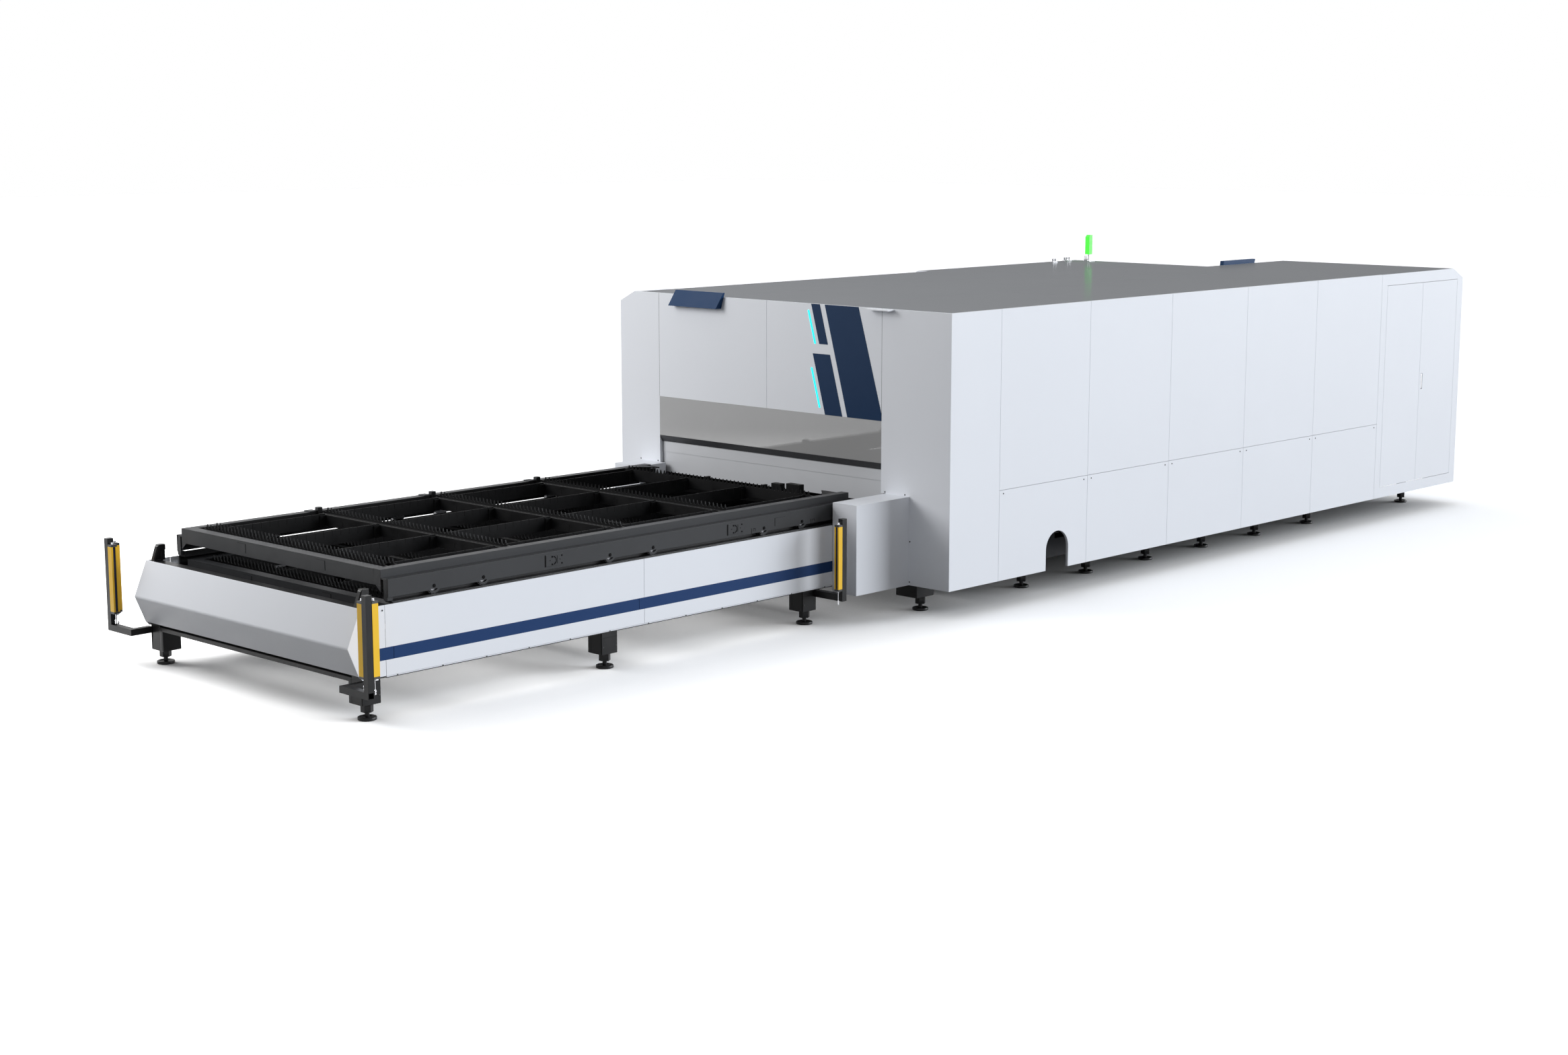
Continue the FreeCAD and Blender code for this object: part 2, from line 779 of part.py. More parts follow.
def pallet_stops():
    """Hooked stops over the far ends of the cross bars, each with a flat plate before it."""
    solids = []
    low = pallet_top_z
    top = low + stop_rise
    bar_top = low - bar_top_drop
    nose = tube_in - stop_nose
    outline = [(tube_in, low), (tube_in + stop_lap, low), (tube_in + stop_lap, top), (nose, top),
               (nose, bar_top), (tube_in, bar_top)]
    for at in bar_at[:-1]:
        x0 = pallet_front_x + at + (bar_w - stop_w) / 2
        solids.append(plate_yz(outline, x0, x0 + stop_w))
        solids.append(block(x0 - stop_plate_len, x0, tube_in, tube_in + tube_w, low, low + stop_plate_t))
    return solids


def pallet_catches():
    """Two blocks on the rear beam."""
    x1 = pallet_front_x + pallet_len
    return [block(x1 - bar_w, x1, y0, y1, pallet_top_z - rear_beam_drop, pallet_top_z + rise)
            for (y0, y1), rise in zip(catch_y, catch_rise)]


def pallet_gussets():
    """Small plates under the corners of the front beam."""
    outer = tube_in + tube_w
    low = pallet_top_z - tube_h
    outline = [(outer, low), (outer - gusset_w, low), (outer, low - gusset_h)]
    return both_sides([plate_yz(outline, pallet_front_x, pallet_front_x + skirt_t)])


def pallet_corners():
    """Triangular plates in the rear corners."""
    x1 = pallet_front_x + pallet_len - bar_w
    outline = [(x1, tube_in), (x1 - corner_plate, tube_in), (x1, tube_in - corner_plate)]
    return both_sides([plate_xy(outline, pallet_top_z - corner_plate_t, pallet_top_z)])


def skirt_plate(x):
    """Plate on the skirt with a C-shaped slot round its middle."""
    z1 = pallet_top_z - skirt_top_drop - (skirt_h - plate_h) / 2
    z0 = z1 - plate_h
    half = plate_h / 2 - plate_slot
    mid_x = x + plate_len / 2
    mid_z = (z0 + z1) / 2
    inner = half - plate_slot
    slot = [(mid_x - half, mid_z + half), (mid_x + half, mid_z + half), (mid_x + half, mid_z - half),
            (mid_x - half, mid_z - half), (mid_x - half, mid_z - inner), (mid_x + inner, mid_z - inner),
            (mid_x + inner, mid_z + inner), (mid_x - half, mid_z + inner)]
    plate = block(x, x + plate_len, skirt_out, skirt_out + plate_t, z0, z1)
    return plate.cut(plate_xz(slot, skirt_out, skirt_out + plate_t))


def pallet_frame():
    """Tubes, skirts, end beams, cross bars and fittings of the upper pallet."""
    x0 = pallet_front_x
    x1 = x0 + pallet_len
    low = pallet_top_z - tube_h
    side = [block(x0, x1, tube_in, tube_in + tube_w, low, pallet_top_z)] + pallet_skirt()
    bar_top = pallet_top_z - bar_top_drop
    solids = both_sides(side)
    solids.append(block(x0, x0 + front_beam_w, -tube_in, tube_in, low, pallet_top_z))
    for at in bar_at:
        solids.append(block(x0 + at, x0 + at + bar_w, -tube_in, tube_in, bar_top - bar_h, bar_top))
    rear_top = pallet_top_z - rear_beam_drop
    solids.append(block(x1 - bar_w, x1, -tube_in, tube_in, rear_top - bar_h, rear_top))
    plates = [skirt_plate(x0 + share * pallet_len) for share in plate_share]
    fittings = pallet_stops() + pallet_catches() + pallet_gussets() + pallet_corners()
    return solids + both_sides(plates) + fittings


def slat_places():
    """Distances of the slats from the pallet's front: two at the front, one behind each
    cross bar but the last, and one before that."""
    first = front_beam_w + slat_gap
    return [first, first + slat_step] + [at + bar_w for at in bar_at[:-1]] + [bar_at[-1] - slat_t]


def pallet_dividers():
    """Longitudinal plates from each slat to the next slat or bar."""
    places = slat_places()
    starts = [at + slat_t for at in places[:-1]]
    ends = places[1:2] + bar_at[:-1] + places[-1:]
    top = pallet_top_z - divider_top_drop
    solids = []
    for start, end in zip(starts, ends):
        for y in divider_y:
            solids.append(block(pallet_front_x + start, pallet_front_x + end, y, y + divider_t,
                                top - divider_h, top))
    return both_sides(solids)


def slat(x):
    """Toothed slat across the pallet."""
    half = tube_in - slat_end_gap
    tip = pallet_top_z + tooth_rise
    root = tip - tooth_depth
    low = pallet_top_z - slat_low_drop
    teeth = int(2 * half // tooth_pitch)
    start = -teeth * tooth_pitch / 2
    outline = [(half, low), (-half, low), (-half, root)]
    for i in range(teeth):
        y = start + i * tooth_pitch
        outline += [(y, root), (y + tooth_pitch / 2, tip)]
    outline += [(-start, root), (half, root)]
    return plate_yz(outline, x, x + slat_t)


def pallet_slats():
    """The slats of the upper pallet."""
    return [slat(pallet_front_x + at) for at in slat_places()]


def wheel_pair(at):
    """Two wheels on one axis, one a side, each with an axle through its skirt."""
    middle = (rail_in + skirt_out - skirt_t) / 2
    x = pallet_front_x + at
    wheel = plate_xz(ngon(x, upper_axle_z, wheel_r), middle - wheel_w / 2, middle + wheel_w / 2)
    axle = plate_xz(ngon(x, upper_axle_z, axle_r, hex_sides), middle + wheel_w / 2, skirt_out)
    return both_sides([wheel.fuse(axle).removeSplitter()])


def lowered(solids):
    """The same pieces on the lower pallet."""
    return shifted(solids, dx=pallet_lag_x, dz=-pallet_drop)


# ---------------------------------------------------------------- enclosure
def panel_seams():
    """X of every seam between side panels."""
    return [panel_start_x + i * panel_pitch for i in range(panel_bays + 1)]


def shoulder_line(wall_y, low_z):
    """Wall and slanted shoulder, from the lower edge to the roof edge."""
    return [(wall_y, low_z), (wall_y, roof_z - shoulder_h), (wall_y - shoulder_w, roof_z)]


def enclosure_frame():
    """Square columns, rails and roof beams inside the panels."""
    t = tube_size
    y0 = near_edge_y
    top = roof_under_z - t
    solids = []
    seams = panel_seams()
    columns = [x - t / 2 for x in seams[:-1]] + [body_rear_x - t]
    for x in columns:
        solids.append(block(x, x + t, y0, y0 + t, panel_z, top))
    solids.append(block(columns[0], columns[-1] + t, y0, y0 + t, top, roof_under_z))
    for x, after in zip(columns[1:], columns[2:]):
        solids.append(block(x + t, after, y0, y0 + t, panel_z, panel_z + t))
    wall = body_far_y - fold
    far_top = roof_z - shoulder_h - t
    far_columns = [portal_back_x + fold, columns[1], columns[2], bay_start_x - fold - t]
    for x in far_columns:
        solids.append(block(x, x + t, wall - t, wall, panel_z, far_top))
    solids.append(block(far_columns[0], bay_start_x - fold, wall - t, wall, far_top, far_top + t))
    bay_wall = bay_far_y - fold
    bay_columns = [bay_start_x + fold, access_x[1] + t, body_rear_x - fold - t]
    for x in bay_columns:
        solids.append(block(x, x + t, bay_wall - t, bay_wall, panel_z, far_top))
    solids.append(block(bay_columns[0], bay_columns[-1] + t, bay_wall - t, bay_wall, far_top, far_top + t))
    beam_x = [portal_back_x + fold] + [body_rear_x - i * roof_pitch - t / 2 for i in (2, 1)]
    for x, end in zip(beam_x, (wall - t, wall - t, bay_wall - t)):
        solids.append(block(x, x + t, y0 + t, end, top, roof_under_z))
    solids.append(block(body_rear_x - fold - t, body_rear_x - fold, y0 + t, bay_wall - t,
                        top, roof_under_z))
    return solids


def corner_box():
    """Open box over the far front foot: bottom plate, front wall and inner wall."""
    x_mid = corner_foot_x + corner_box_shift[0]
    y_mid = foot_y + corner_box_shift[1]
    x0 = x_mid - corner_box_len / 2
    x1 = x_mid + corner_box_len / 2
    y0 = y_mid - corner_box_w / 2
    y1 = y_mid + corner_box_w / 2
    z1 = corner_box_z + corner_box_t
    return [block(x0, x1, y0, y1, corner_box_z, z1),
            block(x0, x0 + corner_box_t, y0, y1, z1, panel_z),
            block(x0 + corner_box_t, x1, y0, y0 + corner_box_t, z1, panel_z)]


def enclosure_feet():
    """Feet under the bed's sills and the cabinet, with open boxes at the front corners."""
    side = foot(corner_foot_x, foot_y, corner_foot_block_z, corner_box_z) + corner_box()
    for x in body_foot_x:
        side += foot(x, foot_y, body_foot_block_z, panel_z)
    solids = both_sides(side)
    for y in (-foot_y, cabinet_foot_far_y):
        solids += foot(cabinet_foot_x, y, body_foot_block_z, panel_z)
    return solids


def portal_far_pillar():
    """Far pillar with its slanted shoulder and the plate that closes it behind."""
    x0 = portal_x
    x1 = portal_back_x
    wall_top = roof_z - shoulder_h
    roof_y = pillar_far_y - shoulder_w
    body_roof_y = body_far_y - shoulder_w
    inner = pan(x0, x1, pillar_far_in_y, notch_half, notch_z, roof_under_z, "+x")
    head_z = wall_top - sheet
    outer = pan(x0, x1, notch_half, pillar_far_y, panel_z, head_z, "+x")
    head = plate_yz([(notch_half, head_z), (pillar_far_y, head_z), (pillar_far_y, wall_top),
                     (roof_y, roof_z), (pillar_far_in_y, roof_z), (pillar_far_in_y, roof_under_z),
                     (notch_half, roof_under_z)], x0, x0 + fold)
    line = [(roof_y, roof_z), (pillar_far_y, wall_top), (pillar_far_y, head_z)]
    shoulder = plate_yz(thick_line(line, sheet), x0 + fold, x1)
    roof = block(x0 + fold, x1, body_roof_y, roof_y - sheet, roof_z - sheet, roof_z)
    back = plate_yz([(body_far_y, panel_z), (pillar_far_y, panel_z), (pillar_far_y, wall_top),
                     (roof_y, roof_z), (body_roof_y, roof_z), (body_far_y, wall_top)], x1, x1 + sheet)
    return [inner, outer, head, shoulder, roof, back]


def portal_shell():
    """Pillars with stepped-back lower halves, and the light tab on the front edge."""
    x0 = portal_x
    x1 = portal_back_x
    y0 = near_edge_y
    outer = pan(x0, x1, y0, -notch_half, panel_z, roof_under_z, "+x")
    inner = pan(x0, x1, -notch_half, pillar_near_in_y, notch_z, roof_under_z, "+x")
    head = block(x0, x0 + fold, y0, pillar_near_in_y, roof_under_z, roof_z)
    tab_y = pillar_near_in_y
    tab = block(x0 - tab_reach, x0, tab_y - tab_len_y / 2, tab_y + tab_len_y / 2,
                roof_z - tab_t - sheet, roof_z - sheet)
    return [outer, inner, head, tab] + portal_far_pillar()


def fascia_panels():
    """Two upright panels over the passage."""
    x1 = portal_x + fold
    return [pan(portal_x, x1, pillar_near_in_y, fascia_seam_y - seam, fascia_z, roof_z, "+x"),
            pan(portal_x, x1, fascia_seam_y, pillar_far_in_y, fascia_z, roof_z, "+x")]


def blade(near_foot, width, low, high):
    """Outline of a slanted blade between two shares of the fascia's height."""
    rise = roof_z - fascia_z
    z0 = fascia_z + low * rise
    z1 = fascia_z + high * rise
    y0 = near_foot + inlay_lean * low * rise
    y1 = near_foot + inlay_lean * high * rise
    return [(y0, z0), (y0 + width, z0), (y1 + width, z1), (y1, z1)]


def fascia_inlays():
    """Staggered slanted blades beside the near pillar."""
    edge = pillar_near_in_y
    wide_top = blade(edge, inlay_wide, 0.0, 1.0)
    wide = [(edge, fascia_z)] + wide_top[1:3] + [wide_top[3], (edge, fascia_z + inlay_gap)]
    start = edge + inlay_wide + inlay_gap
    shapes = [wide, blade(start, inlay_narrow, 0.0, 0.55), blade(start, inlay_narrow / 2, 0.64, 1.0)]
    return [plate_yz(shape, portal_x - inlay_t, portal_x) for shape in shapes]


def light_strips():
    """Two lit strips beside the narrow blades."""
    start = pillar_near_in_y + inlay_wide + inlay_gap + strip_gap
    shapes = [blade(start + inlay_narrow, strip_w, 0.06, 0.42),
              blade(start + inlay_narrow / 2, strip_w, 0.64, 0.94)]
    return [plate_yz(shape, portal_x - strip_t, portal_x) for shape in shapes]


def sign_boxes():
    """Leaning sign box on the portal's front edge and a flat one on the cabinet."""
    y0, y1 = sign_y
    foot_x = portal_x - sign_t
    side = plate_xz([(foot_x, sign_low_z), (portal_x, sign_low_z), (portal_x, sign_top_z),
                     (foot_x + sign_lean, sign_top_z)], y0, y1)
    face = plate_yz([(y0 + sign_end_slant, sign_low_z), (y1, sign_low_z),
                     (y1 - sign_end_slant, sign_top_z), (y0, sign_top_z)], foot_x, portal_x)
    x0, x1 = rear_sign_x
    z0, z1 = rear_sign_z
    outline = [(x0, z0), (x1 - rear_sign_slant, z0), (x1, z1), (x0 + rear_sign_slant / 2, z1)]
    rear = plate_xz(outline, cabinet_far_y, cabinet_far_y + rear_sign_t)
    return [side.common(face), rear]


def glass_band():
    """Dark mirror glass above the lift door, and the slanted strip from it to the door."""
    y0 = pillar_near_in_y
    y1 = pillar_far_in_y
    glass = block(portal_x, portal_x + glass_t, y0, y1, glass_z, fascia_z)
    line = [(door_x - run_gap - sheet, glass_z - visor_drop), (portal_x, glass_z - sheet)]
    return [glass, plate_xz(thick_line(line, sheet), y0, y1)]


def lift_door_solids():
    """Lift door with two stiffening ribs behind."""
    y0 = pillar_near_in_y + door_side_gap
    y1 = pillar_far_in_y - door_side_gap
    door = pan(door_x, door_x + door_t, y0, y1, door_low_z, door_top_z, "+x")
    rib_y = (y1 - y0) / 3
    ribs = [block(door_x + sheet, door_x + door_t, y0 + rib_y * i - sheet, y0 + rib_y * i + sheet,
                  door_low_z + sheet, door_top_z - sheet) for i in (1, 2)]
    return [door] + ribs


def door_apron():
    """Flexible curtain hanging from the lift door."""
    x = door_x + sheet
    return [block(x, x + apron_t, pillar_near_in_y + door_side_gap, pillar_far_in_y - door_side_gap,
                  apron_low_z, door_low_z)]


def arch_outline(radius, y0, y1):
    """Solid under an arch, from below the panel to the round top."""
    centre_z = arch_top_z - arch_w / 2
    straight = block(arch_x - radius, arch_x + radius, y0, y1, panel_z, centre_z)
    corner_r = radius / math.cos(math.pi / arch_sides)
    return straight.fuse(plate_xz(ngon(arch_x, centre_z, corner_r, arch_sides), y0, y1))


def arch_panel(x0, x1):
    """Lower panel with an arched way out and a returned edge round it."""
    y1 = near_edge_y
    body = pan(x0, x1, near_y, y1, panel_z, row_z - seam, "+y")
    rim = arch_outline(arch_w / 2 + sheet, near_y + sheet, y1)
    return body.fuse(rim).cut(arch_outline(arch_w / 2, near_y, y1)).removeSplitter()


def side_panels():
    """Near side: the full-height front panel and two rows behind it."""
    y1 = near_edge_y
    solids = [pan(portal_x, panel_start_x - seam, near_y, y1, panel_z, roof_z, "+y")]
    seams = panel_seams()
    for x0, x1 in zip(seams, seams[1:]):
        solids.append(pan(x0, x1 - seam, near_y, y1, row_z, roof_z, "+y"))
        if x0 < arch_x < x1:
            solids.append(arch_panel(x0, x1 - seam))
        else:
            solids.append(pan(x0, x1 - seam, near_y, y1, panel_z, row_z - seam, "+y"))
    return solids


def roof_rows():
    """X spans of the roof panels, from the portal to the rear of the body."""
    ends = [body_rear_x - i * roof_pitch for i in range(3)]
    return list(zip([portal_x + fold] + ends[:0:-1], ends[::-1]))


def roof_panels():
    """Three columns of roof panels over the body and one panel over the cabinet."""
    body_edge = body_far_y - shoulder_w
    solids = []
    z0 = roof_under_z
    for x0, x1 in roof_rows():
        ys = [near_edge_y] + list(roof_seam_y) + [body_edge]
        for y0, y1 in zip(ys, ys[1:]):
            solids.append(pan(x0, x1 - seam, y0, y1 - seam, z0, roof_z, "-z"))
    bay_edge = bay_far_y - shoulder_w
    solids.append(pan(bay_start_x, body_rear_x - seam, body_edge, bay_edge - seam, z0, roof_z, "-z"))
    return solids + [cabinet_roof()]


def cabinet_roof():
    """Sheet over the cabinet, up to its slanted rear edge."""
    x1 = cabinet_rear_x - rear_slope_len - seam
    z0 = roof_z - sheet
    main = block(body_rear_x, x1, near_edge_y, cabinet_far_y - sheet, z0, roof_z)
    strip = block(panel_end_x, x1, near_y + sheet, near_edge_y, z0, roof_z)
    return main.fuse(strip).removeSplitter()


def shoulder_wall(wall_y, x0, x1, low_z):
    """Upright wall folded over into the slanted shoulder."""
    return plate_yz(thick_line(shoulder_line(wall_y, low_z)[::-1], sheet), x0, x1)


def far_panels():
    """Operator side: the body's wall, the bay with its opening, and the rear wall."""
    low_side = shoulder_line(body_far_y, panel_z)
    bay_side = shoulder_line(bay_far_y, panel_z)
    x0, x1 = access_x
    end_x = bay_start_x - sheet
    rear_x = body_rear_x - sheet
    rear = [(cabinet_far_y, roof_z), (cabinet_far_y, panel_z)] + bay_side
    return [shoulder_wall(body_far_y, portal_back_x + sheet, end_x, panel_z),
            plate_yz(low_side[::-1] + bay_side, end_x, bay_start_x),
            shoulder_wall(bay_far_y, bay_start_x, x0, panel_z),
            shoulder_wall(bay_far_y, x0, x1, access_z[1]),
            shoulder_wall(bay_far_y, x1, rear_x, panel_z),
            block(x0, x1, bay_far_y - sheet, bay_far_y, panel_z, access_z[0]),
            plate_yz(rear, rear_x, body_rear_x)]


def cabinet_line(x0):
    """Roof, slanted rear edge and rear wall of the cabinet, from the front at x0."""
    return [(x0, roof_z), (cabinet_rear_x - rear_slope_len, roof_z),
            (cabinet_rear_x, roof_z - rear_slope_h), (cabinet_rear_x, panel_z)]


def cabinet_front():
    """Four strips round the cabinet doors, and the returned edges beside the leaves."""
    y0 = near_y
    y1 = near_y + sheet
    x0, x1 = leaf_x
    z0, z1 = leaf_z
    head = [(x0, z1)] + cabinet_line(x0)[:2] + [(x1, roof_z - rear_slope_h * slope_share(x1)), (x1, z1)]
    rear = [(x1, panel_z), (x1, roof_z - rear_slope_h * slope_share(x1))] + cabinet_line(x0)[2:]
    return [block(panel_end_x, x0, y0, y1, panel_z, roof_z), block(x0, x1, y0, y1, panel_z, z0),
            plate_xz(head, y0, y1), plate_xz(rear, y0, y1),
            block(x0 - sheet, x0, y1, near_edge_y, z0, z1),
            block(x1, x1 + sheet, y1, near_edge_y, z0, z1)]


def slope_share(x):
    """How far down the slanted rear edge a place along X is, from 0 to 1."""
    return max(0.0, (x - cabinet_rear_x + rear_slope_len) / rear_slope_len)


def cabinet_shell():
    """Rear cabinet: far and rear walls, slanted rear edge, floor and the frame round the doors."""
    x0 = body_rear_x
    far_y = cabinet_far_y - sheet
    skin = plate_xz(thick_line(cabinet_line(x0)[1:], sheet), near_y + sheet, far_y)
    far = plate_xz([(x0, panel_z)] + cabinet_line(x0), far_y, cabinet_far_y)
    floor = block(x0, cabinet_rear_x - sheet, near_edge_y, far_y, cabinet_floor_z, cabinet_floor_z + sheet)
    return [skin, far, floor] + cabinet_front()


def leaf_mid():
    """Middle of the gap between the two cabinet doors."""
    return (leaf_x[0] + leaf_x[1]) / 2


def cabinet_leaf(x0, x1):
    """One door leaf as a pan."""
    return pan(x0, x1, near_y, near_edge_y, leaf_z[0] + leaf_gap, leaf_z[1] - leaf_gap, "+y")


def cabinet_doors():
    """The left leaf, and the right leaf with its handle pocket."""
    left = cabinet_leaf(leaf_x[0] + leaf_gap, leaf_mid() - leaf_gap / 2)
    right = cabinet_leaf(leaf_mid() + leaf_gap / 2, leaf_x[1] - leaf_gap)
    x = leaf_mid() + handle_in
    half = handle_w / 2 + pocket_margin
    z0 = handle_z[0] - pocket_margin
    z1 = handle_z[1] + pocket_margin
    dish = block(x - half - sheet, x + half + sheet, near_y + sheet, near_y + pocket_d + sheet,
                 z0 - sheet, z1 + sheet)
    pocket = block(x - half, x + half, near_y - sheet, near_y + pocket_d, z0, z1)
    return left, right.fuse(dish).cut(pocket).removeSplitter()


def cabinet_handle():
    """Slim handle lying in its pocket."""
    x = leaf_mid() + handle_in
    half = handle_w / 2
    return [block(x - half, x + half, near_y + 1, near_y + 1 + handle_t, handle_z[0], handle_z[1])]


# ---------------------------------------------------------------- roof pieces
def beacon_lamp():
    """Square signal column with a cut top corner."""
    half = beacon_w / 2
    z0 = roof_z + beacon_base_t + beacon_stem_h
    z1 = z0 + beacon_h
    outline = [(-half, z0), (half, z0), (half, z1), (-half + beacon_cut, z1), (-half, z1 - beacon_cut)]
    points = [(beacon_x + a, b) for a, b in outline]
    return [plate_xz(points, beacon_y - half, beacon_y + half)]


def roof_glands():
    """Cable glands on flat blocks, and the beacon's base plate, bracket and stem."""
    solids = []
    for x, y, count in zip(gland_x, gland_y, gland_count):
        half = count * gland_pitch / 2
        top = roof_z + gland_block_h
        solids.append(block(x - half, x + half, y - gland_block_half, y + gland_block_half, roof_z, top))
        for i in range(count):
            gx = x - half + gland_pitch * (i + 0.5)
            solids.append(plate_xy(ngon(gx, y, gland_r, hex_sides), top, roof_z + gland_h))
    half = beacon_base / 2
    base_top = roof_z + beacon_base_t
    solids.append(block(beacon_x - half, beacon_x + half, beacon_y - half, beacon_y + half,
                        roof_z, base_top))
    solids.append(block(beacon_x - half, beacon_x - half + beacon_base_t, beacon_y - half / 2,
                        beacon_y + half / 2, base_top, base_top + beacon_bracket_h))
    solids.append(plate_xy(ngon(beacon_x, beacon_y, beacon_stem_r), base_top, base_top + beacon_stem_h))
    return solids


# ---------------------------------------------------------------- bed, gantry and head
def bed_ends():
    """X of the bed's front and rear."""
    return portal_back_x + bed_front_gap, body_rear_x - bed_rear_gap


def machine_bed():
    """Two side frames tied across the floor, with the gantry's guides and the rail brackets."""
    x0, x1 = bed_ends()
    out = bed_in + bed_w
    sill_top = panel_z + bed_sill_h
    beam_low = bed_top_z - bed_rail_beam_h
    side = [block(portal_back_x, x1, bed_in, out, panel_z, sill_top),
            block(x0, x1, bed_in, out, beam_low, bed_top_z),
            block(x0, x1, bed_in + bed_w / 2 - guide_w / 2, bed_in + bed_w / 2 + guide_w / 2,
                  bed_top_z, bed_top_z + guide_h)]
    pitch = (x1 - x0 - bed_w) / (bed_posts - 1)
    for i in range(bed_posts):
        x = x0 + i * pitch
        side.append(block(x, x + bed_w, bed_in, out, sill_top, beam_low))
        if x + bed_w < rail_end_x:
            side.append(block(x, x + bed_w, rail_out + web_t, bed_in, bracket_z, lower_rail_z))
    solids = both_sides(side)
    for i in range(bed_posts):
        x = x0 + i * pitch
        solids.append(block(x, x + tie_w, -bed_in, bed_in, panel_z, panel_z + tie_h))
    cabinet_sill = block(body_rear_x, cabinet_rear_x - fold, -out, -bed_in, panel_z, cabinet_floor_z)
    far_sill_y = cabinet_foot_far_y
    far_sill = block(body_rear_x, cabinet_rear_x - fold, far_sill_y - bed_w / 2, far_sill_y + bed_w / 2,
                     panel_z, cabinet_floor_z)
    return solids + [cabinet_sill, far_sill]


def gantry():
    """Cross beam on two saddles that ride the guides."""
    x = gantry_x
    guide_mid = bed_in + bed_w / 2
    half = guide_w / 2 + run_gap
    z0 = bed_top_z + guide_h + run_gap
    out = bed_in + bed_w - saddle_over
    saddle = block(x - saddle_len / 2, x + saddle_len / 2, bed_in + saddle_over, out, z0, gantry_z)
    cheeks = [block(x - saddle_len / 2, x + saddle_len / 2, bed_in + saddle_over, guide_mid - half,
                    bed_top_z + run_gap, z0),
              block(x - saddle_len / 2, x + saddle_len / 2, guide_mid + half, out,
                    bed_top_z + run_gap, z0)]
    beam = block(x - gantry_w / 2, x + gantry_w / 2, -out, out, gantry_z, gantry_z + gantry_h)
    beam = beam.cut(block(x - gantry_w / 2 + gantry_wall, x + gantry_w / 2 - gantry_wall, -out, out,
                          gantry_z + gantry_wall, gantry_z + gantry_h - gantry_wall))
    rail_x = x - gantry_w / 2
    rail_low = (gantry_z + gantry_rail_inset, gantry_z + gantry_h - gantry_rail_inset - gantry_rail_h)
    rails = [block(rail_x - gantry_rail_t, rail_x, -bed_in, bed_in, z, z + gantry_rail_h)
             for z in rail_low]
    return both_sides([saddle] + cheeks) + [beam] + rails


def carriage_back_x():
    """Rear face of the carriage plate, before the beam's rails."""
    return gantry_x - gantry_w / 2 - gantry_rail_t - run_gap


def carriage():
    """Plate that carries the head along the gantry, with a motor housing above."""
    x1 = carriage_back_x()
    x0 = x1 - carriage_t
    half = carriage_w / 2
    low = gantry_z - carriage_drop
    top = low + carriage_h
    plate = block(x0, x1, -half, half, low, top)
    cap = block(x0, x1 + carriage_t, -carriage_cap_w / 2, carriage_cap_w / 2, top, top + carriage_cap_h)
    return [plate, cap]


def head_x():
    """Middle of the cutting head along X."""
    return carriage_back_x() - carriage_t - run_gap - head_d / 2


def cutting_head():
    """Slide column, lens body and nozzle."""
    x = head_x()
    body = block(x - head_d / 2, x + head_d / 2, -head_w / 2, head_w / 2, head_low_z, head_low_z + head_h)
    lens_low = head_low_z - lens_h
    lens = plate_xy(ngon(x, 0, lens_r), lens_low, head_low_z)
    nozzle = taper(ngon(x, 0, nozzle_r / 2), ngon(x, 0, nozzle_top_r), nozzle_tip_z, lens_low)
    return [body, lens, nozzle]


def laser_source():
    """Cabinet-sized source behind the right door."""
    x0, x1 = source_x
    y1 = cabinet_far_y - back_gap
    z0 = cabinet_floor_z + sheet
    foot_z = z0 + source_leg
    body = block(x0, x1, y1 - source_d, y1, foot_z, foot_z + source_h)
    legs = [block(x, x + source_leg, y1 - source_d, y1, z0, foot_z) for x in (x0, x1 - source_leg)]
    return [body] + legs


def electrics_rack():
    """Mounting plate with rows of devices behind the left door."""
    x0, x1 = rack_x
    y1 = cabinet_far_y - back_gap
    y0 = y1 - rack_t
    z0 = cabinet_floor_z + sheet
    solids = [block(x0, x1, y0, y1, z0, z0 + rack_h)]
    width = (x1 - x0 - device_gap * (rack_cols + 1)) / rack_cols
    for row in range(rack_rows):
        for col in range(rack_cols):
            x = x0 + device_gap + col * (width + device_gap)
            z = z0 + device_low + row * (rack_h - device_low) / rack_rows
            solids.append(block(x, x + width, y0 - device_d, y0, z, z + device_h))
    return solids


# ---------------------------------------------------------------- operator side
def access_door():
    """Sliding door leaf on the outside of the bay, with a window opening and a pull."""
    y0 = bay_far_y + run_gap
    y1 = y0 + access_t
    x0 = access_x[0] - access_lap
    x1 = access_x[1] + access_lap
    z0 = access_z[0] - access_lap
    z1 = access_z[1] + access_lap
    wx = (x0 + x1) / 2
    leaf = pan(x0, x1, y0, y1, z0, z1, "-y")
    leaf = leaf.cut(block(wx - window_w / 2, wx + window_w / 2, y0, y1,
                          window_low_z, window_low_z + window_h))
    pull_x = x0 + access_lap * 2
    pull = block(pull_x, pull_x + pull_w, y1, -near_y, window_low_z, window_low_z + pull_len)
    return [leaf, pull]


def access_window():
    """Tinted pane behind the door's cut-out."""
    x = (access_x[0] + access_x[1]) / 2
    y1 = bay_far_y + run_gap + access_t - sheet
    lap = access_lap
    return [block(x - window_w / 2 - lap, x + window_w / 2 + lap, y1 - window_t, y1,
                  window_low_z - lap, window_low_z + window_h + lap)]


def console():
    """Operator console with a slanted face, and the box that the stop button sits in."""
    z0, z1 = console_z
    outline = [(body_far_y, z0), (body_far_y + console_d, z0), (body_far_y + console_top_d, z1),
               (body_far_y, z1)]
    x = console_x[1]
    z = (z0 + z1) / 2
    box = block(x, x + stop_box, body_far_y, body_far_y + stop_box_d, z - stop_box / 2, z + stop_box / 2)
    bore = plate_xz(ngon(x + stop_box / 2, z, button_stem_r + run_gap), body_far_y + sheet,
                    body_far_y + stop_box_d)
    return [plate_yz(outline, *console_x), box.cut(bore)]


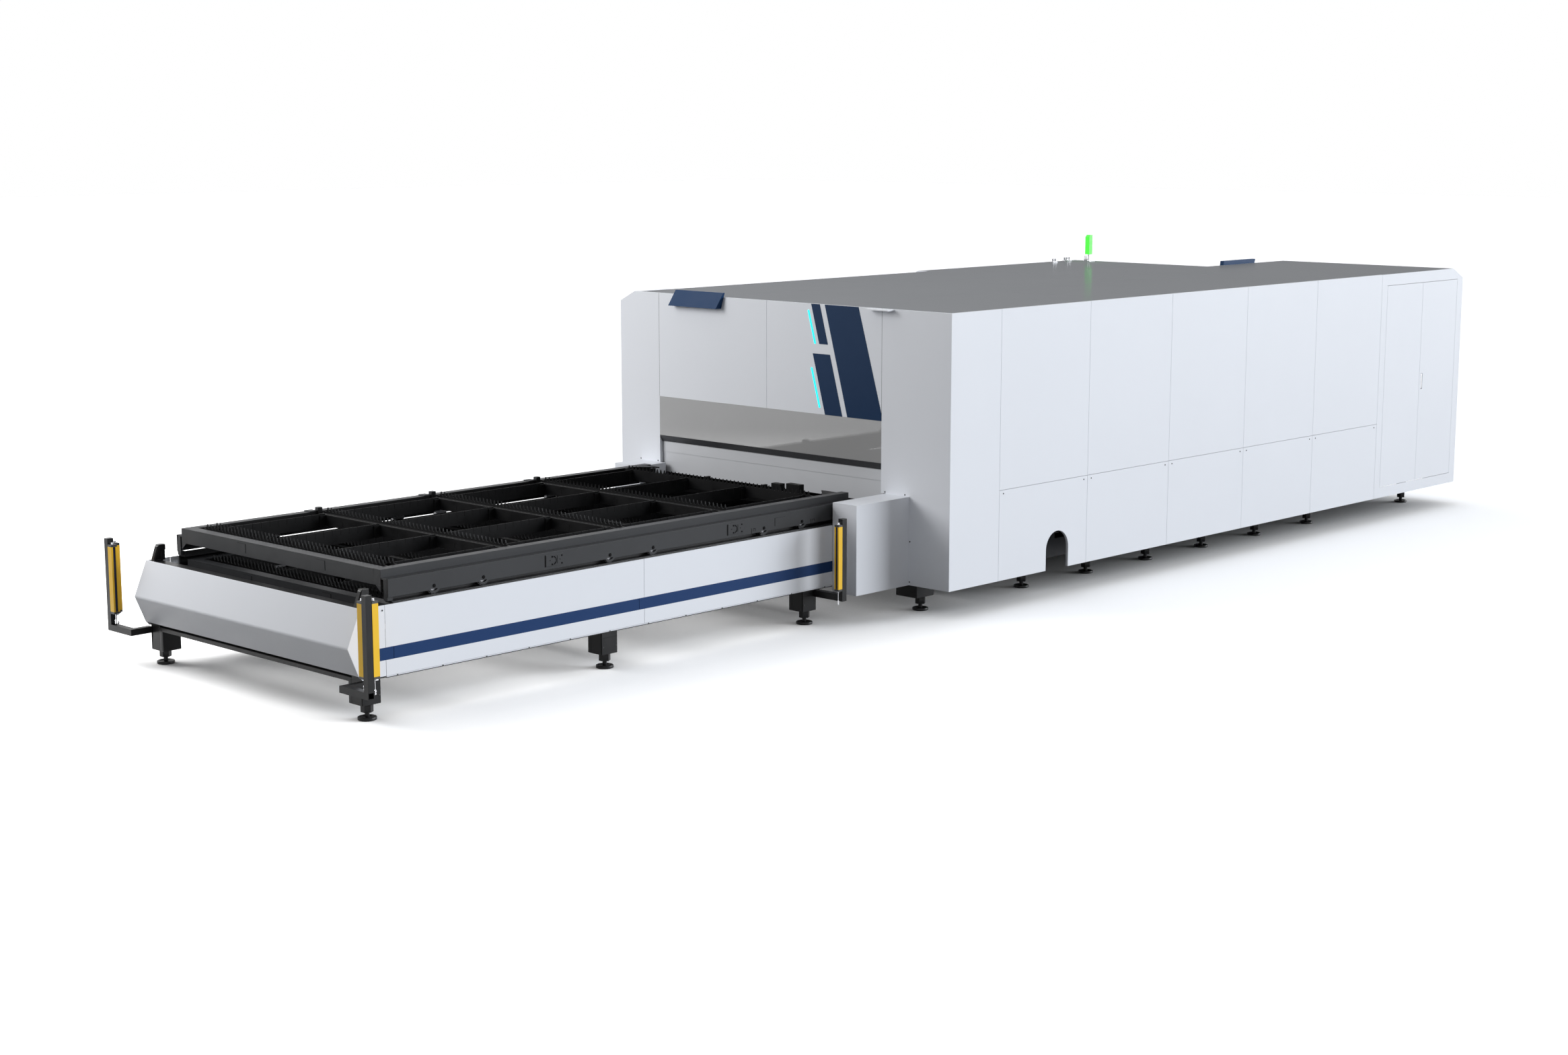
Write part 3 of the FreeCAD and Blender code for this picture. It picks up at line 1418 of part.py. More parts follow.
def stop_button():
    """Mushroom head on a short stem that slides in its box."""
    x = console_x[1] + stop_box / 2
    z = sum(console_z) / 2
    head_y = body_far_y + stop_box_d + button_travel + run_gap
    stem = plate_xz(ngon(x, z, button_stem_r), body_far_y + sheet + run_gap + button_travel, head_y)
    return [stem.fuse(plate_xz(ngon(x, z, button_r), head_y, head_y + button_h))]


# ---------------------------------------------------------------- all nodes
def build():
    """Make every node and write it."""
    os.makedirs("parts", exist_ok=True)
    left, right = cabinet_doors()
    nodes = {
        "table_frame": table_frame(), "table_feet": table_feet(), "table_hood": table_hood(),
        "table_side_panels": table_side_panels(), "table_stripes": table_stripes(),
        "pallet_rails": pallet_rails(), "pallet_hooks": pallet_hooks(),
        "curtain_posts": curtain_posts(), "curtain_bars": curtain_bars(), "curtain_caps": curtain_caps(),
        "exchange_motor": exchange_motor(), "exchange_shaft": exchange_shaft(),
        "transition_covers": transition_covers(),
        "enclosure_frame": enclosure_frame(), "enclosure_feet": enclosure_feet(),
        "portal_shell": portal_shell(), "fascia_panels": fascia_panels(),
        "fascia_inlays": fascia_inlays(), "light_strips": light_strips(),
        "sign_boxes": sign_boxes(), "glass_band": glass_band(),
        "lift_door": lift_door_solids(), "door_apron": door_apron(),
        "side_panels": side_panels(), "roof_panels": roof_panels(), "far_panels": far_panels(),
        "rear_cabinet": cabinet_shell(), "cabinet_door_left": [left], "cabinet_door_right": [right],
        "cabinet_handle": cabinet_handle(), "beacon_lamp": beacon_lamp(), "roof_glands": roof_glands(),
        "machine_bed": machine_bed(), "gantry": gantry(), "carriage": carriage(),
        "cutting_head": cutting_head(), "laser_source": laser_source(),
        "electrics_rack": electrics_rack(), "access_door": access_door(),
        "access_window": access_window(), "console": console(), "stop_button": stop_button(),
    }
    pallet = {"frame": pallet_frame(), "dividers": pallet_dividers(), "slats": pallet_slats()}
    for number, at in enumerate(wheel_at, 1):
        pallet["wheels_" + str(number)] = wheel_pair(at)
    for part, solids in pallet.items():
        nodes["upper_" + part] = solids
        nodes["lower_" + part] = lowered(solids)
    for node, solids in nodes.items():
        export(node, solids)


build()
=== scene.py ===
"""Looks for the enclosed flat-bed cutting machine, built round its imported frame.

Metres, +Z up, floor at z = 0. +X runs from the loading table to the rear cabinet and +Y from
the near side to the operator side. New meshes are lofts of closed rings, worked out as arrays.
"""
from __future__ import annotations

import json
import logging
import math
from dataclasses import dataclass, field
from enum import Enum
from typing import ClassVar

import bpy
import numpy as np
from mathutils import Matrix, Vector

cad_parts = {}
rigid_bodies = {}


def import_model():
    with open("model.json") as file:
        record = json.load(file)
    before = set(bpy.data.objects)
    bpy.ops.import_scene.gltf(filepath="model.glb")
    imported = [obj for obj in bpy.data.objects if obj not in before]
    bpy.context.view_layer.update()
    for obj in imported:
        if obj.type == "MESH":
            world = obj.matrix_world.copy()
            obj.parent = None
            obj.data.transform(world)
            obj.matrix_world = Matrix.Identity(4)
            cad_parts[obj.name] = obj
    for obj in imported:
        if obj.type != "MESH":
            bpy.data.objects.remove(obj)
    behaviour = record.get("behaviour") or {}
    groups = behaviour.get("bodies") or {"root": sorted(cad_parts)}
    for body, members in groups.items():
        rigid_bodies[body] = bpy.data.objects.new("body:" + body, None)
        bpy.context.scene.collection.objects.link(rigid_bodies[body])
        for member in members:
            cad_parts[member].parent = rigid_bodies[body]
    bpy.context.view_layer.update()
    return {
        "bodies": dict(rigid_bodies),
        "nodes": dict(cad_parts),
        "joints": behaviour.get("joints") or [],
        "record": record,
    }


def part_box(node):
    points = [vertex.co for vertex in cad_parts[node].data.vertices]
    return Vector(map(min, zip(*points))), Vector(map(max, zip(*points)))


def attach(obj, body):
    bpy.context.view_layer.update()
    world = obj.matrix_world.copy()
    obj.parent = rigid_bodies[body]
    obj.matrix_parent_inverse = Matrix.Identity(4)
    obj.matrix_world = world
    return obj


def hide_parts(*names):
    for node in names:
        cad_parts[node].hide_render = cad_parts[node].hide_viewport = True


log = logging.getLogger("machine")

Colour = tuple[float, float, float]
Point = tuple[float, float, float]
Profile = tuple[tuple[float, float], ...]
Box = tuple[np.ndarray, np.ndarray]
Row = np.ndarray | tuple[float, ...]
Socket = bpy.types.NodeSocket
ORIGIN = (0.0, 0.0, 0.0)
EVEN = (1.0, 1.0, 1.0)


class Axis(Enum):
    """Direction that a loft runs along, with the places of its ring's two coordinates."""

    X = (1, 2, 0)
    Y = (2, 0, 1)
    Z = (0, 1, 2)


class Slot(Enum):
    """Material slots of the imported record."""

    BLACK = "steel_black"
    PALLET = "pallet_black"
    WHITE = "panel_white"
    BRIGHT = "bright_metal"
    CAP = "cap_black"


# ------------------------------------------------------------------ meshes
@dataclass
class Shell:
    """Points and faces of one mesh.

    Attributes:
        points: array of shape (n, 3), in metres in the machine's frame.
        faces: tuples of point numbers, turning anticlockwise seen from outside.
    """

    points: np.ndarray
    faces: list[tuple[int, ...]]

    def __add__(self, other: Shell) -> Shell:
        """The two meshes as one."""
        first = len(self.points)
        moved = [tuple(i + first for i in face) for face in other.faces]
        return Shell(np.vstack([self.points, other.points]), self.faces + moved)

    def repeated(self, offsets: np.ndarray | list[Point]) -> Shell:
        """Copies of the mesh at several places.

        Args:
            offsets: how far each of the k copies is moved.

        Returns:
            One mesh that holds all k copies.
        """
        offsets = np.asarray(offsets, float).reshape(-1, 3)
        count = len(self.points)
        points = (self.points[None] + offsets[:, None]).reshape(-1, 3)
        faces = [tuple(i + k * count for i in face) for k in range(len(offsets)) for face in self.faces]
        return Shell(points, faces)

    def both_sides(self) -> Shell:
        """The mesh and its mirror image on the other side of the machine's middle plane."""
        return self + Shell(self.points * (1, -1, 1), [face[::-1] for face in self.faces])


def total(shells: list[Shell]) -> Shell:
    """All the meshes as one."""
    whole = shells[0]
    for shell in shells[1:]:
        whole = whole + shell
    return whole


def loft(rings: np.ndarray) -> Shell:
    """Skin over closed rings, with a flat face at each end.

    The surface is P(i, j): ring i of the stack at its point j, and each face joins point j
    and j + 1 of two neighbouring rings.

    Args:
        rings: array of shape (stations, n, 3), each ring turning anticlockwise about the
            direction in which the stack grows.

    Returns:
        The closed mesh.
    """
    stations, n, _ = rings.shape
    i, j = np.meshgrid(np.arange(stations - 1), np.arange(n), indexing="ij")
    after = (j + 1) % n
    quads = np.stack([i * n + j, i * n + after, (i + 1) * n + after, (i + 1) * n + j], -1)
    faces = [tuple(q) for q in quads.reshape(-1, 4).tolist()]
    last = (stations - 1) * n
    faces += [tuple(range(n - 1, -1, -1)), tuple(range(last, last + n))]
    return Shell(rings.reshape(-1, 3).astype(float), faces)


def stacked(outlines: np.ndarray, heights: Row, centre: Point, axis: Axis) -> Shell:
    """Loft of flat outlines stacked along an axis.

    Args:
        outlines: array of shape (stations, n, 2), each about the axis.
        heights: where each outline lies along the axis, from the centre.
        centre: point on the axis.
        axis: direction of the stack.

    Returns:
        The closed mesh.
    """
    rings = np.empty((*outlines.shape[:2], 3))
    a, b, c = axis.value
    rings[..., a] = outlines[..., 0]
    rings[..., b] = outlines[..., 1]
    rings[..., c] = np.asarray(heights)[:, None]
    return loft(rings + np.asarray(centre))


def turned(profile: Profile, centre: Point = ORIGIN, axis: Axis = Axis.Z, sides: int = 32,
           first: float = 0.0) -> Shell:
    """Turned piece: the ring at a station is radius * (cos t, sin t).

    Args:
        profile: (radius, height) of each station, going up the axis.
        centre: point on the axis at height 0.
        axis: axis of the turning.
        sides: points on each ring.
        first: angle t of a ring's first point, in degrees.

    Returns:
        The closed mesh.
    """
    t = np.radians(first + np.arange(sides) * 360 / sides)
    unit = np.stack([np.cos(t), np.sin(t)], -1)
    radius, height = np.array(profile, float).T
    return stacked(radius[:, None, None] * unit[None], height, centre, axis)


def rounded_rectangle(width: float, depth: float, radius: float, steps: int = 4) -> np.ndarray:
    """Outline of a rectangle with round corners.

    Each corner is a quarter circle about a point one radius inside both edges.

    Args:
        width: size along the first coordinate.
        depth: size along the second coordinate.
        radius: radius of the corners.
        steps: points on each corner.

    Returns:
        Array of shape (4 * steps, 2).
    """
    t = np.linspace(0, np.pi / 2, steps)[None] + np.arange(4)[:, None] * np.pi / 2
    side = np.array([[1, 1], [-1, 1], [-1, -1], [1, -1]])[:, None]
    middle = side * (width / 2 - radius, depth / 2 - radius)
    return (middle + radius * np.stack([np.cos(t), np.sin(t)], -1)).reshape(-1, 2)


def bar(low: Point, high: Point, edge: float) -> Shell:
    """Upright box with rounded long edges and chamfered ends.

    Four stations: the end ring is drawn in by the edge, then full size, and so again.

    Args:
        low: lowest corner.
        high: highest corner.
        edge: radius of the edges and size of the end chamfers.

    Returns:
        The closed mesh.
    """
    low, high = np.asarray(low, float), np.asarray(high, float)
    size = high - low
    full = rounded_rectangle(size[0], size[1], edge)
    small = full * (1 - 2 * edge / size[:2])
    centre = (low + high) / 2
    centre[2] = low[2]
    return stacked(np.stack([small, full, full, small]), (0, edge, size[2] - edge, size[2]), centre, Axis.Z)


def tube(points: list[Point], radius: float, sides: int = 8, steps: int = 7, level: float = 0.9) -> Shell:
    """Round tube along a smooth line through points.

    The line is a Catmull-Rom spline, and each ring stands square to it.

    Args:
        points: points that the line passes through.
        radius: radius of the tube.
        sides: points on each ring.
        steps: places on the line from one point to the next, both included.
        level: part of a direction along X from which its ring is set out from Y, not X.

    Returns:
        The closed mesh.
    """
    control = np.asarray(points, float)
    padded = np.vstack([2 * control[0] - control[1], control, 2 * control[-1] - control[-2]])
    t = np.linspace(0, 1, steps)[:, None]
    p0, p1, p2, p3 = (padded[k:len(padded) - 3 + k][:, None] for k in range(4))
    curve = 0.5 * (2 * p1 + (p2 - p0) * t + (2 * p0 - 5 * p1 + 4 * p2 - p3) * t ** 2
                   + (3 * p1 - p0 - 3 * p2 + p3) * t ** 3)
    line = np.vstack([curve[:, :-1].reshape(-1, 3), control[-1:]])
    along = np.gradient(line, axis=0)
    along /= np.linalg.norm(along, axis=1)[:, None]
    helper = np.where(np.abs(along[:, :1]) < level, (1.0, 0.0, 0.0), (0.0, 1.0, 0.0))
    first = np.cross(along, helper)
    first /= np.linalg.norm(first, axis=1)[:, None]
    second = np.cross(along, first)
    a = (np.arange(sides) * 2 * np.pi / sides)[None, :, None]
    return loft(line[:, None] + radius * (np.cos(a) * first[:, None] + np.sin(a) * second[:, None]))


def edged(along: Row, top: Row, low: Point, high: Point, axis: Axis = Axis.X) -> Shell:
    """Upright plate whose top edge rises and falls along its length.

    The ring at a place along the plate is the rectangle from the plate's foot to its top there.

    Args:
        along: places along the plate, growing.
        top: height of the top edge at each place.
        low: lowest corner of the plate, for its foot and one face.
        high: highest corner, for the other face.
        axis: direction of the plate's length, X or Y.

    Returns:
        The closed mesh.
    """
    run, side = (0, 1) if axis is Axis.X else (1, 0)
    rings = np.empty((len(along), 4, 3))
    rings[..., run] = np.asarray(along)[:, None]
    rings[..., side] = (low[side], high[side], high[side], low[side])
    rings[:, :2, 2] = low[2]
    rings[:, 2:, 2] = np.asarray(top)[:, None]
    return loft(rings if axis is Axis.X else rings[:, ::-1])


def slab(low: Point, high: Point) -> Shell:
    """Plain box for seams and marks of a millimetre or two."""
    return edged((low[0], high[0]), (high[2], high[2]), low, high)


def screw_head(radius: float = 0.0055, axis: Axis = Axis.Y, height: float = 0.003) -> Shell:
    """Low dome with a socket ring, on a face that looks down the axis.

    Args:
        radius: radius of the head.
        axis: axis of the screw.
        height: how far it stands off the face.

    Returns:
        The screw head at the origin.
    """
    dome = np.array([(0.35, -0.6), (0.5, -1.0), (0.8, -0.85), (1.0, -0.4), (1.0, 0.0)])
    return turned(dome * (radius, height), ORIGIN, axis, 12)


# ------------------------------------------------------------------ finishes
class Graph:
    """Nodes of one material or of the world."""

    def __init__(self, owner: bpy.types.Material | bpy.types.World) -> None:
        """Turn the owner's nodes on.

        Args:
            owner: the material or world.
        """
        owner.use_nodes = True
        self.nodes = owner.node_tree.nodes
        self.links = owner.node_tree.links

    def feed(self, node: bpy.types.Node, inputs: dict) -> None:
        """Give a node its inputs.

        Args:
            node: the node.
            inputs: value or socket for each input, by name or number.
        """
        for key, value in inputs.items():
            if isinstance(value, Socket):
                self.links.new(value, node.inputs[key])
            else:
                node.inputs[key].default_value = value

    def add(self, kind: str, inputs: dict | None = None, **settings: str | int) -> bpy.types.Node:
        """Make a node.

        Args:
            kind: its type, without ShaderNode.
            inputs: value or socket for each input.
            settings: other values of the node, set before its inputs.

        Returns:
            The node.
        """
        node = self.nodes.new("ShaderNode" + kind)
        for key, value in settings.items():
            setattr(node, key, value)
        self.feed(node, inputs or {})
        return node


class Board(Graph):
    """Nodes of one finish, with its shader and Object coordinates."""

    quiet, loud = 0.3, 0.7

    def __init__(self, name: str) -> None:
        """Make the material.

        Args:
            name: the material's name.
        """
        self.material = bpy.data.materials.new(name)
        super().__init__(self.material)
        self.shader = self.nodes["Principled BSDF"]
        self.place = self.add("TexCoord").outputs["Object"]

    def noise(self, scale: float, detail: float, stretch: Point = EVEN) -> Socket:
        """Noise on Object coordinates.

        Args:
            scale: waves per metre.
            detail: octaves added to the first.
            stretch: scale along each axis.

        Returns:
            The noise's value, about 0.5 on average.
        """
        place = self.add("Mapping", {"Vector": self.place, "Scale": stretch}).outputs["Vector"]
        return self.add("TexNoise", {"Vector": place, "Scale": scale, "Detail": detail}).outputs["Fac"]

    def ranged(self, value: Socket, low: float, high: float) -> Socket:
        """Noise from quiet to loud, spread from low to high."""
        return self.add("MapRange", {"Value": value, "From Min": self.quiet, "From Max": self.loud,
                                     "To Min": low, "To Max": high}).outputs["Result"]

    def tinted(self, colour: Colour, share: float, value: Socket) -> Socket:
        """Colour that varies a little in brightness.

        Args:
            colour: linear colour at its brightest.
            share: how much darker it gets, from 0 to 1.
            value: noise that drives it.

        Returns:
            The colour.
        """
        dark = [c * (1 - share) for c in colour]
        mix = self.add("Mix", {"A": (*dark, 1), "B": (*colour, 1), "Factor": self.ranged(value, 0, 1)},
                       data_type="RGBA")
        return mix.outputs["Result"]

    def relief(self, value: Socket, strength: float, depth: float) -> Socket:
        """Normal of a fine relief.

        Args:
            value: height, from 0 to 1.
            strength: share of the relief that shows.
            depth: metres that a height of 1 stands for.

        Returns:
            The normal.
        """
        return self.add("Bump", {"Height": value, "Strength": strength, "Distance": depth}).outputs["Normal"]

    def finished(self, **inputs: Socket | float) -> bpy.types.Material:
        """The material, with the shader's inputs given by name and spaces written as _."""
        self.feed(self.shader, {key.replace("_", " "): value for key, value in inputs.items()})
        return self.material


def from_screen(red: int, green: int, blue: int) -> Colour:
    """Linear colour of a screen colour of 0 to 255: ((c + 0.055) / 1.055) ** 2.4."""
    return tuple(((c / 255 + 0.055) / 1.055) ** 2.4 for c in (red, green, blue))


@dataclass(frozen=True)
class Paint:
    """Powder coat or moulded plastic: fine orange-peel relief and a faint cloudiness.

    Attributes:
        name: the material's name.
        colour: linear colour.
        roughness: middle roughness.
        spread: how far the roughness strays either way.
        cloud: share by which the colour darkens in the clouds.
        peel: strength of the relief.
        grain: waves of the relief per metre.
        specular: reflection of the bare surface, 0.5 for paint.
        coat: strength of the clear coat.
        clouds: scale and detail of the cloudiness.
        smears: scale and detail of the roughness.
        peel_depth: depth of the relief.
        coat_roughness: roughness of the clear coat.
    """

    name: str
    colour: Colour
    roughness: float = 0.45
    spread: float = 0.05
    cloud: float = 0.03
    peel: float = 0.05
    grain: float = 700.0
    specular: float = 0.5
    coat: float = 0.0
    clouds: ClassVar[tuple[float, float]] = (1.3, 4.0)
    smears: ClassVar[tuple[float, float]] = (9.0, 3.0)
    peel_depth: ClassVar[float] = 0.0004
    coat_roughness: ClassVar[float] = 0.15

    def material(self) -> bpy.types.Material:
        """The finish's material."""
        board = Board(self.name)
        low, high = self.roughness - self.spread, self.roughness + self.spread
        return board.finished(
            Base_Color=board.tinted(self.colour, self.cloud, board.noise(*self.clouds)),
            Roughness=board.ranged(board.noise(*self.smears), low, high),
            Normal=board.relief(board.noise(self.grain, 1.0), self.peel, self.peel_depth),
            Specular_IOR_Level=self.specular, Coat_Weight=self.coat, Coat_Roughness=self.coat_roughness)


@dataclass(frozen=True)
class Metal:
    """Bare or plated metal with lines along one axis.

    Attributes:
        name: the material's name.
        colour: linear colour.
        roughness: middle roughness.
        lines: stretch of the pattern along each axis, small along the lines.
        depth: strength of the lines' relief.
        streaks: scale and detail of the lines.
        shade: share by which the colour darkens.
        stray: share by which the roughness strays either way.
        line_depth: depth of the relief.
    """

    name: str
    colour: Colour
    roughness: float
    lines: Point = EVEN
    depth: float = 0.05
    streaks: ClassVar[tuple[float, float]] = (400.0, 3.0)
    shade: ClassVar[float] = 0.12
    stray: ClassVar[float] = 0.2
    line_depth: ClassVar[float] = 0.0003

    def material(self) -> bpy.types.Material:
        """The finish's material."""
        board = Board(self.name)
        streak = board.noise(*self.streaks, self.lines)
        low, high = self.roughness * (1 - self.stray), self.roughness * (1 + self.stray)
        return board.finished(Base_Color=board.tinted(self.colour, self.shade, streak),
                              Roughness=board.ranged(streak, low, high), Metallic=1.0,
                              Normal=board.relief(streak, self.depth, self.line_depth))


@dataclass(frozen=True)
class Lit:
    """Translucent cover that is lit from inside; on the fascia's cyan strips, a painted glow.

    Attributes:
        name: the material's name.
        colour: linear colour of the light.
        strength: brightness, 1 for white on screen.
        ribs: scale, detail and stretch of the cover's ribs.
        dims: shares by which the cover's and the light's colour darken.
        roughness: roughness of the cover.
    """

    name: str
    colour: Colour
    strength: float
    ribs: ClassVar[tuple[float, float, Point]] = (160.0, 1.0, (1.0, 1.0, 0.05))
    dims: ClassVar[tuple[float, float]] = (0.1, 0.15)
    roughness: ClassVar[float] = 0.25

    def material(self) -> bpy.types.Material:
        """The finish's material."""
        board = Board(self.name)
        ribs = board.noise(*self.ribs)
        cover, light = (board.tinted(self.colour, share, ribs) for share in self.dims)
        return board.finished(Base_Color=cover, Emission_Color=light, Roughness=self.roughness,
                              Emission_Strength=self.strength)


@dataclass(frozen=True)
class Pane:
    """Tinted window that light passes through.

    Attributes:
        name: the material's name.
        colour: linear tint.
        cloud: share by which the tint darkens.
        waves: scales of the cloudiness and of the relief.
        wave: strength and depth of the relief.
    """

    name: str
    colour: Colour
    cloud: ClassVar[float] = 0.05
    waves: ClassVar[tuple[float, float]] = (3.0, 4.0)
    wave: ClassVar[tuple[float, float]] = (0.05, 0.002)

    def material(self) -> bpy.types.Material:
        """The finish's material."""
        board = Board(self.name)
        tint = board.tinted(self.colour, self.cloud, board.noise(self.waves[0], 2.0))
        return board.finished(Base_Color=tint, Roughness=0.05, Transmission_Weight=0.85, IOR=1.45,
                              Normal=board.relief(board.noise(self.waves[1], 1.0), *self.wave))


Finish = Paint | Metal | Lit | Pane

WHITE_COAT = Paint("white_coat", from_screen(230, 233, 239), 0.42, cloud=0.015, peel=0.06, specular=0.25)
# Roof: white paint given a grey colour for the little light from above and its dark reflection: painted shade
# and painted reflection.
ROOF_SHADED_COAT = Paint("roof_shaded_coat", from_screen(137, 139, 142), 0.35, 0.04, 0.02, peel=0.0, specular=0.0, coat=0.1)
BLACK_COAT = Paint("black_coat", from_screen(27, 27, 28), 0.34, cloud=0.12, peel=0.08, specular=0.2)
PALLET_COAT = Paint("pallet_coat", from_screen(60, 61, 63), 0.42, cloud=0.15, peel=0.12,
                    grain=350.0, specular=0.12)
# Near-black: the slats', dividers' and brackets' own dark steel, and painted shade on the faces inside the
# pallet frames.
SLAT_STEEL_AND_SHADE = Paint("slat_steel_and_shade", from_screen(17, 17, 18), 0.5, 0.12, 0.3, peel=0.2, grain=180.0, specular=0.1)
FRAME_COAT = Paint("frame_coat", from_screen(92, 94, 98), 0.5, cloud=0.1, peel=0.1)
NAVY_COAT = Paint("navy_coat", from_screen(28, 58, 104), 0.4, cloud=0.05, specular=0.1)
DEEP_NAVY = Paint("deep_navy", from_screen(22, 48, 80), 0.4, cloud=0.05, specular=0.1)
SIGN_NAVY = Paint("sign_navy", from_screen(28, 60, 98), 0.4, cloud=0.05, specular=0.1)
YELLOW_COAT = Paint("yellow_coat", from_screen(250, 200, 52), 0.35, cloud=0.04, specular=0.25)
# Near-black: painted shade in slots, cuts, plate edges and leg grooves, and the colour of seams, bolts and
# bosses.
SLOT_SHADE_AND_BOLT_BLACK = Paint("slot_shade_and_bolt_black", from_screen(6, 6, 7), 0.8, cloud=0.1, peel=0.0, specular=0.1)
GREY_DARK = Paint("grey_dark", from_screen(60, 61, 64), 0.4, cloud=0.05, specular=0.3)
SCREEN = Paint("screen", from_screen(18, 22, 28), 0.08, 0.02, 0.02, peel=0.0, coat=0.5)
LENS_NAVY = Paint("lens_navy", from_screen(18, 25, 52), 0.35, cloud=0.05, specular=0.2)
# Pale grey strips in the roof seams: painted edge highlights.
SEAM_HIGHLIGHT_GREY = Paint("seam_highlight_grey", from_screen(176, 178, 181), 0.5, cloud=0.05, specular=0.2)
BLACK_PLASTIC = Paint("black_plastic", from_screen(30, 30, 32), 0.5, cloud=0.08, grain=1400.0)
RED_PLASTIC = Paint("red_plastic", from_screen(200, 24, 18), 0.25, coat=0.4)
GREY_COAT = Paint("grey_coat", from_screen(125, 128, 133), cloud=0.06)
# Lift door and apron: white paint darkened for the shade in their recess: painted shade.
DOOR_SHADED_COAT = Paint("door_shaded_coat", from_screen(200, 202, 206), 0.42, cloud=0.015, peel=0.06)
BAND_GLASS = Paint("band_glass", (0.35, 0.35, 0.352), 0.03, 0.01, 0.02, peel=0.0, specular=1.0)
PLATED = Metal("plated", (0.78, 0.78, 0.80), 0.15, depth=0.02)
GROUND_STEEL = Metal("ground_steel", (0.55, 0.55, 0.57), 0.3, (1.0, 0.04, 1.0))
WHEEL_STEEL = Metal("wheel_steel", (0.20, 0.20, 0.21), 0.4, (1.0, 0.2, 1.0))
ALUMINIUM = Metal("aluminium", (0.62, 0.63, 0.65), 0.35, (1.0, 0.06, 1.0))
# Cyan strips of the fascia's inlaid motif, made to glow though they are no lamp: painted light.
CYAN_INLAY_GLOW = Lit("cyan_inlay_glow", (0.0, 0.95, 1.0), 1.1)
GREEN_LIGHT = Lit("green_light", (0.03, 1.0, 0.02), 2.2)
WINDOW = Pane("window", (0.20, 0.50, 0.25))

SHARP, FINE_EDGE, BROAD_EDGE = 0.0, 0.0015, 0.003

# Finish and broken edge of each CAD node, apart from those of the pallets
FINISHES: tuple[tuple[Finish, float, str], ...] = (
    (WHITE_COAT, SHARP, "portal_shell fascia_panels side_panels far_panels rear_cabinet cabinet_door_left "
                        "cabinet_door_right access_door transition_covers table_hood table_side_panels"),
    (ROOF_SHADED_COAT, SHARP, "roof_panels"),
    (DEEP_NAVY, SHARP, "fascia_inlays"),
    (CYAN_INLAY_GLOW, SHARP, "light_strips"),
    (SIGN_NAVY, FINE_EDGE, "sign_boxes"),
    (BAND_GLASS, SHARP, "glass_band"),
    (DOOR_SHADED_COAT, SHARP, "lift_door door_apron"),
    (WINDOW, SHARP, "access_window"),
    (GREY_COAT, FINE_EDGE, "console"),
    (GREY_COAT, SHARP, "laser_source electrics_rack"),
    (GREY_COAT, BROAD_EDGE, "exchange_motor"),
    (RED_PLASTIC, SHARP, "stop_button"),
    (GREEN_LIGHT, SHARP, "beacon_lamp"),
    (PLATED, SHARP, "roof_glands"),
    (PLATED, FINE_EDGE, "cabinet_handle"),
    (FRAME_COAT, SHARP, "enclosure_frame machine_bed"),
    (ALUMINIUM, SHARP, "gantry carriage cutting_head"),
    (BLACK_COAT, BROAD_EDGE, "table_frame pallet_rails pallet_hooks curtain_posts"),
    (NAVY_COAT, SHARP, "table_stripes"),
    (YELLOW_COAT, FINE_EDGE, "curtain_bars"),
    (BLACK_PLASTIC, FINE_EDGE, "curtain_caps"),
    (GROUND_STEEL, SHARP, "exchange_shaft"),
)


def linked(name: str, data: bpy.types.ID) -> bpy.types.Object:
    """New object in the scene."""
    obj = bpy.data.objects.new(name, data)
    bpy.context.scene.collection.objects.link(obj)
    return obj


def placed(obj: bpy.types.Object, rows: bpy.types.bpy_prop_collection, value: str) -> np.ndarray:
    """Points of an object's mesh in the machine's frame.

    Args:
        obj: the object.
        rows: its mesh's vertices or polygons.
        value: name of the point that each row has.

    Returns:
        Array of shape (rows, 3).
    """
    flat = np.empty(len(rows) * 3, np.float32)
    rows.foreach_get(value, flat)
    place = np.array(obj.matrix_world)
    return flat.reshape(-1, 3).astype(float) @ place[:3, :3].T + place[:3, 3]


